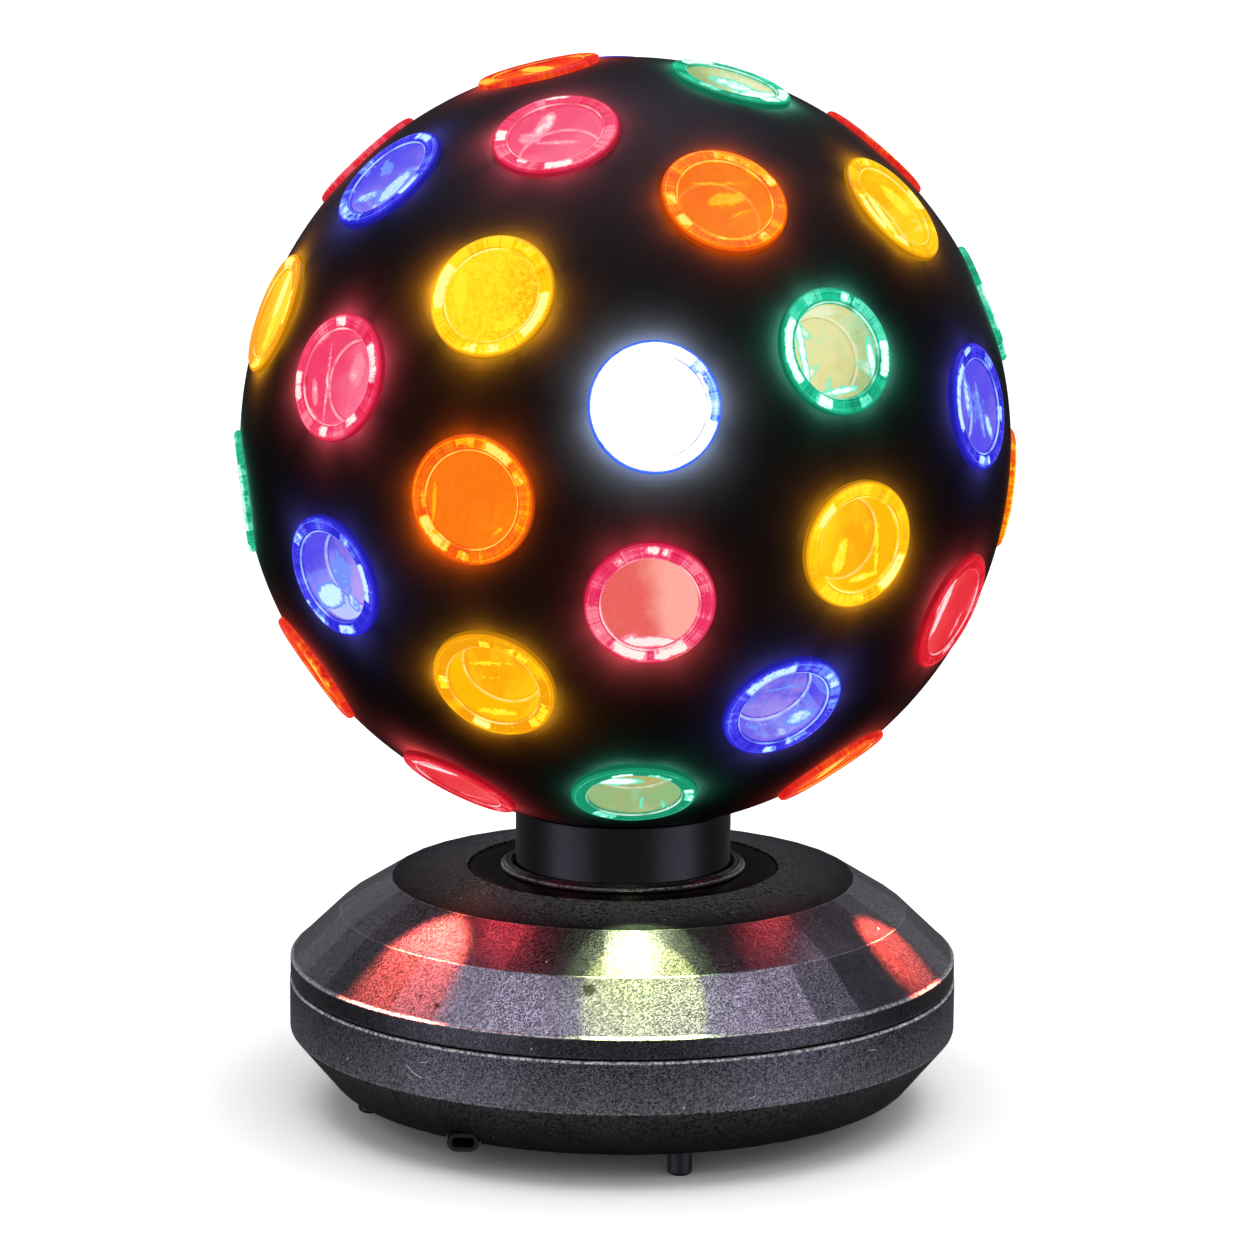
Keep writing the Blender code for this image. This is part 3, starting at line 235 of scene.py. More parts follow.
# The lit side of a lens's disc (degrees), how strongly it is lit, the disc's and the ring's
# lightness, and how much the window hides the cup
LENS_TONES = {
    2: (-20, 0.35, 0.1, 0, 0.4), 3: (-30, 0.2, -0.02, 0.05, 0.45), 5: (-30, 0.25, 0.06, 0, 0.25),
    6: (-30, 0.2, 0.04, 0.02, 0.25), 8: (-30, 0.1, -0.04, 0, 0.5), 9: (170, 0.3, 0.2, 0.16, 0.9),
    11: (30, 0.3, 0.12, -0.26, 0.7), 12: (150, 0.25, 0.2, 0.02, 0.45), 13: (-10, 0.2, -0.02, 0.06, 0.4),
    14: (-10, 0.2, -0.22, -0.08, 0.3), 18: (-30, 0.14, -0.14, -0.02, 0.9),
    19: (170, 0.25, -0.06, 0.12, 0.3), 20: (-70, 0.4, 0.12, -0.02, 0.25), 21: (10, 0.6, 0, 0.08, 1),
    22: (180, 0.25, -0.04, -0.06, 0.3), 23: (-40, 0.16, -0.1, -0.18, 0.3), 24: (-60, 0.25, -0.02, 0, 0.2),
    28: (-90, 0.3, -0.34, -0.34, 0.4),
}
USUAL_TONE = (-30, 0.2, 0, 0, 0.35)

# Lenses seen nearly edge on, whose outer side shows as part of the ring
EDGE_ON = (1, 4, 7, 10, 16, 17, 25, 27)

# How strongly a lens's disc is mottled with its bright tone
MOTTLED = {3: 0.45, 5: 0.4, 9: 1, 11: 0.3, 18: 0.12, 21: 0.15}

# Where a lens's disc begins (mm): its radius and its depth below the ring
DISC_RADIUS = 11.54
DISC_DEPTH = -0.45

# Profiles: radius and height of each corner. The lip's are distance in from it, height and edge
# brightness.
NECK_BORE = 0.0104
NECK_FLANGE = 0.033
NECK_BOTTOM = 0.0392
NECK_FLOOR = 0.0417
# The lip's edge brightness is rubbed wear and a painted highlight.
LIP_PROFILE = (
    (0.00055, RIM - 0.00012, 0.5), (0.00018, RIM - 0.00026, 1), (0, RIM - 0.0005, 0.3),
    (0, RIM - 0.0007, 0), (0, LIP_BOTTOM + 0.0006, 0), (0.00015, LIP_BOTTOM + 0.0002, 0.12),
    (0.0006, LIP_BOTTOM, 0),
)
SHELL_INSIDE = (
    (0.0856, LIP_BOTTOM), (0.0856, LIP_BOTTOM - 0.003), (0.0838, LIP_BOTTOM - 0.003), (0.0838, 0.041),
    (0.0735, 0.051), (0.0608, 0.0588), (0.0413, 0.0589), (0.032, 0.0589), (0.032, 0.0485),
    (0.0294, 0.0485), (0.0294, 0.0613), (0.0412, 0.0613),
)
TUB_PROFILE = (
    (0, GROUND_CLEARANCE), (FLOOR_RADIUS - 0.0012, GROUND_CLEARANCE),
    (FLOOR_RADIUS - 0.0004, GROUND_CLEARANCE + 0.00018),
    (FLOOR_RADIUS + 0.0004, GROUND_CLEARANCE + 0.0009),
    (BASE_RADIUS - 0.00035, TAPER_TOP - 0.00045), (BASE_RADIUS - 0.0001, TAPER_TOP - 0.0001),
    (BASE_RADIUS, TAPER_TOP + 0.0004), (BASE_RADIUS, SEAM - 0.0008),
    (BASE_RADIUS - 0.00005, SEAM - 0.0005), (BASE_RADIUS - 0.00022, SEAM - 0.00022),
    (BASE_RADIUS - 0.0008, SEAM), (WALL_IN, SEAM), (WALL_IN, TAPER_TOP + 0.0008), (TUB_RADIUS, FLOOR_TOP),
    (0, FLOOR_TOP),
)
CUT_BOTTOM = 0.0067
FOOT_PROFILE = (
    (0, 0), (FOOT_RADIUS - 0.0007, 0), (FOOT_RADIUS, 0.0006), (FOOT_RADIUS, 0.0073), (0.0021, 0.0073),
    (0.0021, 0.0105), (FOOT_RADIUS, 0.0105), (0.0021, 0.0121), (0, 0.0121),
)

# How far inside a hole in the ball a point of the skin may lie before it is taken away
HOLE_SLACK = 0.0003

# Linear tones. The grained ones are low, high and on the raised lines, and the tub has a dull one.
WHITE = (1, 1, 1)
LENS_BLACK = (0.004, 0.004, 0.004)
BALL_TONES = ((0.0008, 0.0008, 0.0007), (0.0024, 0.0023, 0.0021))
# The raised lines' tones, here and in the tub's, are the grain lightened by a painted sheen.
GRAIN_TONES = ((0.002, 0.0019, 0.0025), (0.0055, 0.0052, 0.007), (0.024, 0.023, 0.029))
TUB_TONES = (
    (0.0022, 0.0021, 0.003), (0.006, 0.0058, 0.0082), (0.066, 0.066, 0.088), (0.003, 0.003, 0.0035)
)
# The taper's tones are kept dark as painted shade under the base.
TAPER_SHADED_TONES = ((0.0022, 0.0022, 0.0022), (0.0052, 0.0052, 0.0052))
FLOOR_TONES = ((0.975, 0.975, 0.975), (0.985, 0.985, 0.985))
BOARD_TONES = ((0.012, 0.11, 0.045), (0.03, 0.2, 0.08))
LED_TONES = ((1, 0.95, 0.85), (0.85, 0.92, 1))
# Bright tone of the edges: rubbed wear and a painted highlight
RUBBED_HIGHLIGHT_TONE = (0.6, 0.6, 0.63)
DUST_TONE = (0.42, 0.42, 0.41)
STAIN_TONE = (0.001, 0.001, 0.001)
SCRATCH_TONE = (0.42, 0.42, 0.43)

# Dark marks on the tiers: centre (mm) and radius
MARKS = (
    (-8.2, -77.2, 50.5, 2.5), (16.5, -81.5, 46.2, 1.6), (-50, -66, 45.5, 1.4),
    (-46, -70.6, 44.2, 1.4), (-61, -42, 54, 1.2),
)

# Scratches on the wall: place round it and height (mm), turn (degrees), length and width (mm)
SCRATCHES = (
    (-55.4, 27.3, -28, 6.2, 0.17), (-56.6, 25.9, -40, 2.4, 0.12), (-52, 30.4, 12, 3, 0.12),
    (33, 24.6, 20, 2.4, 0.12), (70, 31, -8, 3.4, 0.12), (128, 28, 35, 3, 0.14),
    (-140, 26, -20, 3.6, 0.12), (-205, 29, 48, 2.8, 0.14),
)
SCRATCH_BOW = 0.05

# Light all round: what lights matt faces, and what glossy ones mirror
SOFT_LIGHT = (0.84, 0.84, 0.84)
FLANK_LIGHT = ((0.035, 0.035, 0.037), (0.55, 0.52, 0.56))
UNDER_LIGHT = ((0.1, 0.1, 0.11), (0.6, 0.6, 0.68), (2.4, 2.35, 3.2))
CEILING_LIGHT = (10.6, 9.5, 13.2)
FLOOR_SIZE = 60

# Azimuth and latitude on the ball, colour, size and power of the light that the base mirrors
BEAMS = (
    (4.8, -53.5, (0.92, 1, 0.56), 0.018, 0.072),
    (7, -20, (0.66, 1, 0.24), 0.028, 0.13),
    (-74, -34, (1, 0.2, 0.14), 0.036, 0.03),
    (-48, -55.6, (1, 0.05, 0.09), 0.03, 0.026),
    (63, -53, (1, 0.07, 0.11), 0.03, 0.018),
    (110, -36, (1, 0.2, 0.15), 0.036, 0.03),
)

# Coloured light that falls on the base: from, to (mm), cone (degrees), colour, softness and power
SPOTS = (
    ((-40, -44, 92), (-51.5, -56.5, 52), 40, (1, 0.13, 0.08), 0.75, 30),
    ((62, -30, 98), (69.4, -34.6, 49), 25, (1, 0.09, 0.05), 0.8, 27),
    ((4.6, -75.9, 104), (5, -76.5, 52), 32, (0.86, 1, 0.28), 0.22, 11.5),
    ((4.6, -75.9, 104), (5, -73, 56), 44, (0.7, 1, 0.42), 0.5, 1.7),
)
SPOT_RADIUS = 0.0012

# The camera, in metres, degrees and pixels of the photograph
CAMERA_PLACE = Vector((0, -0.9858, 0.2961))
CAMERA_PITCH = 9.69
CAMERA_YAW = 0.04
CAMERA_ROLL = 0.36
FOCAL_PIXELS = 3805
IMAGE_PIXELS = 1254


# Node graphs
class Value:
    """A node's output, with the sums that can be made of it."""

    def __init__(self, graph, socket):
        self.graph = graph
        self.socket = socket
        self.combine = graph.vector if socket.type == "VECTOR" else graph.math

    def __add__(self, other):
        return self.combine("ADD", self, other)

    def __sub__(self, other):
        return self.combine("SUBTRACT", self, other)

    def __mul__(self, factor):
        if self.socket.type == "VECTOR":
            inputs = {0: self, "Scale": factor}
            return self.graph.node("VectorMath", inputs, "Vector", operation="SCALE")
        return self.combine("MULTIPLY", self, factor)

    def __abs__(self):
        return self.combine("ABSOLUTE", self)

    def step(self, low, high, out_low=0, out_high=1):
        """A smooth step between two values."""
        inputs = (self, low, high, out_low, out_high)
        return self.graph.node("MapRange", inputs, interpolation_type="SMOOTHSTEP")

    def noise(self, scale, detail=2, roughness=0.5):
        inputs = {"Vector": self, "Scale": scale, "Detail": detail, "Roughness": roughness}
        return self.graph.node("TexNoise", inputs, "Fac")

    def cells(self, scale, feature="F1"):
        """How far the place is from the nearest cell's point, or from its edge."""
        inputs = {"Vector": self, "Scale": scale}
        return self.graph.node("TexVoronoi", inputs, "Distance", feature=feature)


class Graph:
    """A node tree with short calls for the nodes that the materials use."""

    def __init__(self, owner):
        owner.use_nodes = True
        owner.node_tree.nodes.clear()
        self.owner = owner
        self.tree = owner.node_tree

    def node(self, kind, inputs=(), output=0, **settings):
        """Adds a node, feeds its inputs by place or name, and gives one of its outputs."""
        made = self.tree.nodes.new("ShaderNode" + kind)
        for name, value in settings.items():
            setattr(made, name, value)
        for key, value in inputs.items() if isinstance(inputs, dict) else enumerate(inputs):
            self.feed(made.inputs[key], value)
        return Value(self, made.outputs[output]) if made.outputs else None

    def feed(self, socket, value):
        """Links a node's output to a socket, or sets its value."""
        if isinstance(value, Value):
            self.tree.links.new(value.socket, socket)
        elif isinstance(value, tuple) and len(value) == 3 and len(socket.default_value) == 4:
            socket.default_value = (*value, 1)
        else:
            socket.default_value = value

    def math(self, operation, *values, clamp=False):
        return self.node("Math", values, operation=operation, use_clamp=clamp)

    def vector(self, operation, *values):
        output = "Value" if operation == "LENGTH" else "Vector"
        return self.node("VectorMath", values, output, operation=operation)

    def most(self, *values, clamp=False):
        return self.math("MAXIMUM", *values, clamp=clamp)

    def mix(self, strength, first, second):
        return self.node("Mix", {0: strength, 6: first, 7: second}, 2, data_type="RGBA")

    def layered(self, colour, *layers):
        """A colour with others laid over it in turn, each given as its strength and itself."""
        for strength, over in layers:
            colour = self.mix(strength, colour, over)
        return colour

    def attribute(self, name, output="Fac"):
        return self.node("Attribute", (), output, attribute_name=name)

    def join(self, x, y, z):
        return self.node("CombineXYZ", (x, y, z))

    def split(self, vector):
        return [Value(self, part) for part in self.node("SeparateXYZ", (vector,)).socket.node.outputs]

    def place(self):
        """Object coordinates in millimetres."""
        return self.node("TexCoord", output="Object") * 1000

    def bump(self, height, strength, distance):
        return self.node("Bump", {"Height": height, "Strength": strength, "Distance": distance})

    def finish(self, **sockets):
        """Adds the Principled shader, with sockets by name, and gives the material."""
        inputs = {name.replace("_", " "): value for name, value in sockets.items()}
        self.node("OutputMaterial", (self.node("BsdfPrincipled", inputs),))
        return self.owner


def material(name):
    return Graph(bpy.data.materials.new(name))


# Materials
def lens_fields(graph):
    """Distance from a lens's axis, and a place and a seed that differ from lens to lens."""
    place = graph.place()
    x, y, z = graph.split(place)
    flat = graph.join(x, y, 0)
    seed = graph.node("ObjectInfo", output="Random") * 61.7
    lift = graph.join(0, 0, seed)
    return graph.vector("LENGTH", flat), place + lift, flat, lift, seed, (x, y, z)


def blocks(graph, angle, seed, count, offset):
    """A random value for each of a number of equal sectors."""
    sector = graph.math("FLOOR", angle * (count / math.tau) + offset)
    return graph.node("TexWhiteNoise", {"W": sector + seed}, "Value", noise_dimensions="1D")


def lens_body_material(name, look):
    graph = material("lens_" + name + "_body")
    radius, shifted, flat, lift, seed, (x, y, z) = lens_fields(graph)
    around = graph.vector("NORMALIZE", flat)
    angle = graph.math("ARCTAN2", y, x)
    wide = blocks(graph, angle, seed, 17, 0.37)
    fine = blocks(graph, angle, seed, 46, 0.11)
    sweep = (around * 1.1 + lift).noise(1)
    spokes = (around * 9 + lift).noise(1, 3, 0.65)
    hoops = graph.join(radius * 2.4, angle * 1.2, seed).noise(1)
    swirl = shifted.noise(0.42, 3, 0.6)
    crumbs = shifted.noise(1.3, 2, 0.6)
    side = graph.attribute("side")
    hot = graph.attribute("hot")
    outline = graph.attribute("outline")

    # Ring: streaks of light across and along it, in some stretches much brighter than in others
    level = sweep * 0.56 + wide * 0.22 + spokes * 0.42 + (hoops - 0.5) * 0.5 + (fine - 0.5) * 0.12 + side
    ragged = hot * 0.92 + (swirl - 0.5) + (spokes - 0.5) * 0.9
    ragged = ragged + (crumbs - 0.5) * 0.5 + (fine - 0.5) * 0.18
    ring = graph.layered(
        look.deep,
        (level.step(0.44, 0.62), look.ring),
        (level.step(0.68, 0.8, 0, 0.9), look.bright),
        (abs(spokes - 0.5).step(0.022, 0.006) * sweep.step(0.45, 0.6, 0, 0.8), look.deep),
        (ragged.step(0.37, 0.46), look.bright),
        (ragged.step(0.62, 0.76), look.hot),
        (crumbs.step(0.63, 0.69) * sweep.step(0.45, 0.55), look.bright),
    )
    lines = ((11.92, 0.26, look.hot), (12.32, 0.24, look.deep), (14.7, 0.16, look.bright))
    for circle, width, shade in lines:
        line = abs(radius - circle).step(width, width / 3) * sweep.step(0.38, 0.6, 0.1, 0.75)
        ring = graph.mix(line, ring, shade)
    dark = tuple((1 if name == "white" else 0.4) * part for part in look.deep)
    ring = graph.layered(
        ring,
        (radius.step(15.05, 15.35, 0, 0.85) * outline, look.deep),
        (radius.step(15.5, 15.72, 0, 0.85) * outline, dark),
    )

    # Cup behind the window: a wall and a flat bottom
    grain = shifted.noise(0.13, 3, 0.55) + side
    long = graph.join(x * 0.35, y * 0.1, seed).noise(1, 3, 0.6)
    glare = side * 1.2 + swirl * 0.5
    wall = graph.layered(
        look.ring,
        (grain.step(0.38, 0.72, 0.1, 0.85), look.inner),
        (level.step(0.66, 0.8, 0, 0.7), look.bright),
        (glare.step(0.5, 0.62, 0, 0.8), look.hot),
    )
    bottom = graph.layered(
        look.inner,
        (grain.step(0.32, 0.72), look.light),
        (long.step(0.5, 0.66, 0, 0.55), look.bright),
    )
    cup = graph.mix(z.step(-5.9, -6.6), wall, bottom)
    for circle, deep, width, shade in ((10.3, -6.6, 0.32, look.hot), (9.75, -6.7, 0.3, look.deep)):
        line = abs(radius - circle).step(width, width / 3) * z.step(deep + 0.7, deep + 0.4)
        cup = graph.mix(line * swirl.step(0.36, 0.56, 0.3, 1), cup, shade)
    return graph.finish(
        Base_Color=LENS_BLACK,
        Roughness=0.1,
        Specular_IOR_Level=0.012,
        Emission_Color=graph.mix(radius.step(11.4, 11.62), cup, ring),
        Emission_Strength=1,
        Normal=graph.bump(wide * 0.6 + fine, 0.25, 0.0002),
    )


def lens_window_material(name, look):
    graph = material("lens_" + name + "_window")
    radius, shifted, *_ = lens_fields(graph)
    cloud = shifted.noise(0.1, 3, 0.6)
    swirl = shifted.noise(0.5, 3, 0.6)
    dots = shifted.cells(0.75).step(0.1, 0.05) * shifted.noise(0.3, 1).step(0.5, 0.6)
    frost = shifted.noise(2.6, 2, 0.7).step(0.55, 0.68) * cloud.step(0.5, 0.62, 0, 0.45)
    side = cloud * 0.5 + graph.attribute("side")
    ragged = (swirl - 0.5) * 0.7 + graph.attribute("hot")
    bright = ragged.step(0.34, 0.52)
    mottle = shifted.noise(0.9, 5, 0.8).step(0.43, 0.59, 0, 0.9) * graph.attribute("mottle")
    colour = graph.layered(
        look.inner,
        (side.step(0.1, 0.5), look.light),
        (bright, look.bright),
        (ragged.step(0.6, 0.82), look.hot),
        (mottle, look.bright),
        (graph.most(dots * 0.55, frost) * 0.7, look.light),
        (dots * 0.6, look.hot),
    )
    if name == "white":
        veil = radius.step(11.4, 9.5, 0.9, 1)
    else:
        veil = graph.most((cloud - 0.5) * 0.5 + graph.attribute("veil"), bright, clamp=True)
    return graph.finish(
        Base_Color=LENS_BLACK,
        Roughness=0.06,
        Specular_IOR_Level=0.015,
        Emission_Color=colour,
        Emission_Strength=1,
        Alpha=veil,
        Normal=graph.bump(cloud, 0.2, 0.0002),
    )


def ball_material():
    """Satin black, lit near each lens by the light that spreads from its rim."""
    graph = material("ball_plastic_lit")
    place = graph.place()
    cloth = place.noise(0.05, 3)
    skin = place.noise(2.2, 4, 0.6)
    return graph.finish(
        Base_Color=graph.mix(skin, *BALL_TONES),
        Roughness=skin.step(0.3, 0.7, 0.42, 0.52),
        Specular_IOR_Level=0.014,
        Emission_Color=graph.attribute("glow", "Vector") * cloth.step(0.3, 0.7, 0.85, 1.15),
        Emission_Strength=1,
        Normal=graph.bump(skin, 0.25, 0.0001),
    )


def leather(graph, place):
    """A moulded leather grain: thin raised worm-like lines about a millimetre apart."""
    warp = place.noise(0.7)
    field = (place + graph.join(warp * 1.6, warp, warp)).noise(1.45, 1)
    return abs(field - 0.5).step(0.074, 0.022), place.noise(3, 2, 0.65)


def worn_and_highlit(graph, tone, place, strength=0.8):
    """The tone with bright edges, rubbed wear and a painted highlight, and a few specks of dust."""
    broken = place.noise(1.1, 4, 0.75)
    # Bright edges: rubbed wear, with a painted highlight along them
    wear_and_highlight = graph.attribute("wear_and_highlight") * broken.step(0.42, 0.58, 0.12, 1)
    specks = place.cells(0.13).step(0.052, 0.03)
    return graph.layered(tone, (wear_and_highlight * strength, RUBBED_HIGHLIGHT_TONE), (specks * 0.6, DUST_TONE))


def grained_material(name="grained_plastic_worn_highlit", light=1, level=0.1, clear=1):
    """Dark plastic with a moulded leather grain, each flat a little different in gloss."""
    graph = material(name)
    place = graph.place()
    worms, fine = leather(graph, place)
    patch = place.noise(0.045, 4, 0.6)
    blot = place.noise(1.5, 4, 0.75)
    stain = 0
    for *centre, radius in MARKS:
        away = blot * 5 + (graph.vector("LENGTH", place - tuple(centre)) - radius)
        stain = graph.most(stain, away.step(2, 1.5, 0, 0.9))
    # A light below 1 darkens every tone, giving a shaded copy of the plastic as painted shade.
    low, high, raised = (tuple(light * part for part in tone) for tone in GRAIN_TONES)
    # The raised lines are painted lighter, as a sheen on the grain.
    tone = graph.layered(
        low,
        (fine.step(0.3, 0.7), high),
        (worms * 0.75, raised),
        (patch.step(0.35, 0.65, 0, 0.35), low),
        (stain, STAIN_TONE),
    )
    shine = graph.math("ADD", fine * 0.28, worms * 1.15, clamp=True)
    return graph.finish(
        Base_Color=worn_and_highlit(graph, tone, place),
        Roughness=graph.most(graph.attribute("facet") * 0.07 + 0.21 + fine * 0.08, stain),
        Specular_IOR_Level=level,
        Coat_Weight=shine * graph.math("SUBTRACT", 1, stain) * clear,
        Coat_Roughness=0.24,
        Normal=graph.bump(fine * 0.4 + worms, 0.3, 0.0001),
    )


def tub_material():
    """The grained wall, lightly scratched, its edges bright with rubbed wear and a painted highlight."""
    graph = material("grained_plastic_tub")
    place = graph.place()
    x, y, z = graph.split(place)
    worms, fine = leather(graph, place)
    patch = place.noise(0.06, 4, 0.6)
    low, high, raised, dull = TUB_TONES
    # The raised lines are painted lighter, as a lilac sheen on the grain.
    tone = graph.layered(
        low,
        (fine.step(0.3, 0.7), high),
        (worms * 0.8, raised),
        (patch.step(0.35, 0.65, 0, 0.35), dull),
    )
    tone = worn_and_highlit(graph, tone, place)
    around = graph.math("ARCTAN2", x, y * -1) * (BASE_RADIUS / MM)
    marks = 0
    for across, up, turn, length, width in SCRATCHES:
        lean = math.radians(turn)
        right, rise = around - across, z - up
        along = rise * math.sin(lean) + right * math.cos(lean)
        aside = rise * math.cos(lean) + right * -math.sin(lean)
        gap = abs(aside - along * along * SCRATCH_BOW)
        mark = gap.step(width, width / 3) * abs(along).step(length / 2, length / 2 - 0.6)
        marks = graph.most(marks, mark)
    return graph.finish(
        Base_Color=graph.mix(marks * fine.step(0.3, 0.6, 0.4, 0.95), tone, SCRATCH_TONE),
        Roughness=fine.step(0.3, 0.7, 0.32, 0.42),
        Specular_IOR_Level=0.12,
        Coat_Weight=graph.math("ADD", fine * 0.22, worms, clamp=True),
        Coat_Roughness=0.3,
        Normal=graph.bump(fine * 0.4 + worms, 0.45, 0.00014),
    )


def taper_material():
    """The smoother, dull black taper and bottom of the base, kept dark as painted shade beneath it."""
    graph = material("grained_plastic_taper_shaded")
    place = graph.place()
    fine = place.noise(1.6, 3, 0.6)
    patch = place.noise(0.08, 4, 0.6)
    return graph.finish(
        Base_Color=worn_and_highlit(graph, graph.mix(patch.step(0.35, 0.65), *TAPER_SHADED_TONES), place, 0.5),
        Roughness=fine.step(0.3, 0.7, 0.42, 0.54),
        Specular_IOR_Level=0.14,
        Normal=graph.bump(fine, 0.3, 0.00008),
    )


def satin_material(name, tone, roughness, level, grain_scale=1.4):
    graph = material(name)
    place = graph.place()
    grain = place.noise(grain_scale, 4, 0.6)
    patch = place.noise(0.06, 3)
    darker = tuple(0.65 * part for part in tone)
    return graph.finish(
        Base_Color=graph.mix(patch.step(0.35, 0.65), darker, tone),
        Roughness=grain.step(0.3, 0.7, roughness - 0.05, roughness + 0.06),
        Specular_IOR_Level=level,
        Normal=graph.bump(grain, 0.2, 0.00008),
    )


def metal_material(name, tone, roughness):
    """Bare or plated metal with fine marks along one way."""
    graph = material(name)
    x, y, z = graph.split(graph.place())
    marks = graph.join(x, y, z * 12).noise(0.5, 3, 0.6)
    darker = tuple(0.72 * part for part in tone)
    return graph.finish(
        Base_Color=graph.mix(marks.step(0.3, 0.7), darker, tone),
        Roughness=marks.step(0.3, 0.7, roughness, roughness + 0.12),
        Metallic=1,
        Normal=graph.bump(marks, 0.15, 0.00005),
    )


def board_material():
    graph = material("circuit_board_mask")
    line = graph.place().cells(0.35, "DISTANCE_TO_EDGE").step(0.08, 0.04)
    return graph.finish(
        Base_Color=graph.mix(line, *BOARD_TONES),
        Roughness=0.38,
        Normal=graph.bump(line, 0.3, 0.00004),
    )


def led_material():
    graph = material("led_lit")
    return graph.finish(
        Base_Color=(0.8, 0.78, 0.7),
        Roughness=0.2,
        Emission_Color=graph.mix(graph.place().noise(0.8), *LED_TONES),
        Emission_Strength=4,
    )


def floor_material():
    """Matt white, lifted by painted light to the white of the wall behind beyond the lamp's own shadow.
    """
    graph = material("studio_floor")
    place = graph.place()
    away = graph.vector("LENGTH", place)
    return graph.finish(
        Base_Color=graph.mix(place.noise(0.004), *FLOOR_TONES),
        Roughness=0.9,
        Specular_IOR_Level=0,
        Emission_Color=WHITE,
        # Painted light: the floor glows more away from the lamp, which paints the edge of its shadow.
        Emission_Strength=away.step(75, 84, 0, 0.15) + away.step(94, 122, 0, 0.13),
    )


# Meshes
def point_at(azimuth, radius, height=0):
    angle = math.radians(azimuth)
    return Vector((radius * math.sin(angle), -radius * math.cos(angle), height))


def rounded(profile, rounding, closed=True):
    """The profile with each corner turned into a small arc of points."""
    points = []
    for index, corner in enumerate(profile):
        here = Vector(corner)
        if not closed and index in (0, len(profile) - 1):
            points.append(tuple(here))
            continue
        before = Vector(profile[index - 1]) - here
        after = Vector(profile[(index + 1) % len(profile)]) - here
        reach = min(rounding, before.length * 0.45, after.length * 0.45)
        start = here + before.normalized() * reach
        end = here + after.normalized() * reach
        for share in (0, 0.5, 1):
            points.append(tuple(start.lerp(here, share).lerp(here.lerp(end, share), share)))
    return points


def mesh_of(name, bm):
    """The edited shape as a mesh."""
    mesh = bpy.data.meshes.new(name)
    bm.to_mesh(mesh)
    bm.free()
    return mesh


def smoothed(mesh, degrees):
    """The mesh with smooth shading, and sharp edges where faces meet at more than an angle."""
    mesh.shade_smooth()
    mesh.set_sharp_from_angle(angle=math.radians(degrees))
    return mesh


def ring_mesh(name, rings):
    """A mesh through rings of points, the last one joined to the first. A ring can be one point."""
    bm = bmesh.new()
    count = max(len(ring) for ring in rings)
    loops = []
    for ring in rings:
        verts = [bm.verts.new(point) for point in ring]
        loops.append(verts * (count // len(verts)))
    for lower, upper in zip(loops, loops[1:] + loops[:1]):
        for near in range(count):
            far = (near + 1) % count
            corners = dict.fromkeys((lower[near], lower[far], upper[far], upper[near]))
            if len(corners) > 2:
                bm.faces.new(tuple(corners))
    bmesh.ops.recalc_face_normals(bm, faces=bm.faces)
    return mesh_of(name, bm)


def turned(name, profile, steps, smooth_angle=35):
    """A closed profile of (radius, height) turned about Z."""
    rings = [
        [point_at(360 * step / steps, radius, height) for step in range(steps if radius > 0 else 1)]
        for radius, height in profile
    ]
    return smoothed(ring_mesh(name, rings), smooth_angle)


def add_object(name, data):
    made = bpy.data.objects.new(name, data)
    bpy.context.scene.collection.objects.link(made)
    return made


def place_piece(name, mesh, materials, body, nodes, slot, matrix=Matrix()):
    """Adds a piece that rides on a body and stands for CAD nodes."""
    piece = add_object(name, mesh)
    piece.visible_diffuse = not name.startswith("lens_")
    for entry in materials:
        mesh.materials.append(entry)
    piece.matrix_world = matrix
    bpy.context.view_layer.update()
    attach(piece, body)
    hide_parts(*nodes)
    return piece


def set_floats(mesh, name, values):
    layer = mesh.attributes.new(name, "FLOAT", "POINT")
    layer.data.foreach_set("value", np.full(len(mesh.vertices), values, dtype=np.float32))


def coordinates(mesh):
    flat = np.empty(len(mesh.vertices) * 3, dtype=np.float32)
    mesh.vertices.foreach_get("co", flat)
    return flat.reshape(-1, 3)


# Lenses
def list_lenses():
    """Each lens's name, CAD node, azimuth, latitude, colour, look and the number of its lights."""
    lenses = []
    for number, (azimuth, latitude, colour) in enumerate(FRONT_LENSES, 1):
        node = f"lens_{number:02d}_{colour}"
        look = OTHER_LOOKS.get(number, colour)
        lenses.append((node + "_lit", node, azimuth, latitude, colour, look, number))
    for column, (azimuth, row) in enumerate(HIDDEN_COLUMNS, 1):
        for order, (latitude, colour) in enumerate(row, 1):
            alike = [lens[-1] for lens in lenses[: len(FRONT_LENSES)] if lens[4] == lens[5] == colour]
            number = alike[(column * 3 + order * 2) % len(alike)]
            name = f"lens_back_{column}{order}_{colour}"
            lenses.append((name, f"lens_column_{column}", azimuth, latitude, colour, colour, number))
    return lenses


def lens_matrix(azimuth, latitude):
    """Where a lens stands: its own +Z points out of the ball, and +Y up along it."""
    turn = Euler((math.radians(90 - latitude), 0, math.radians(azimuth))).to_matrix().to_4x4()
    return Matrix.Translation(BALL_CENTRE) @ turn @ Matrix.Translation((0, 0, BALL_RADIUS))


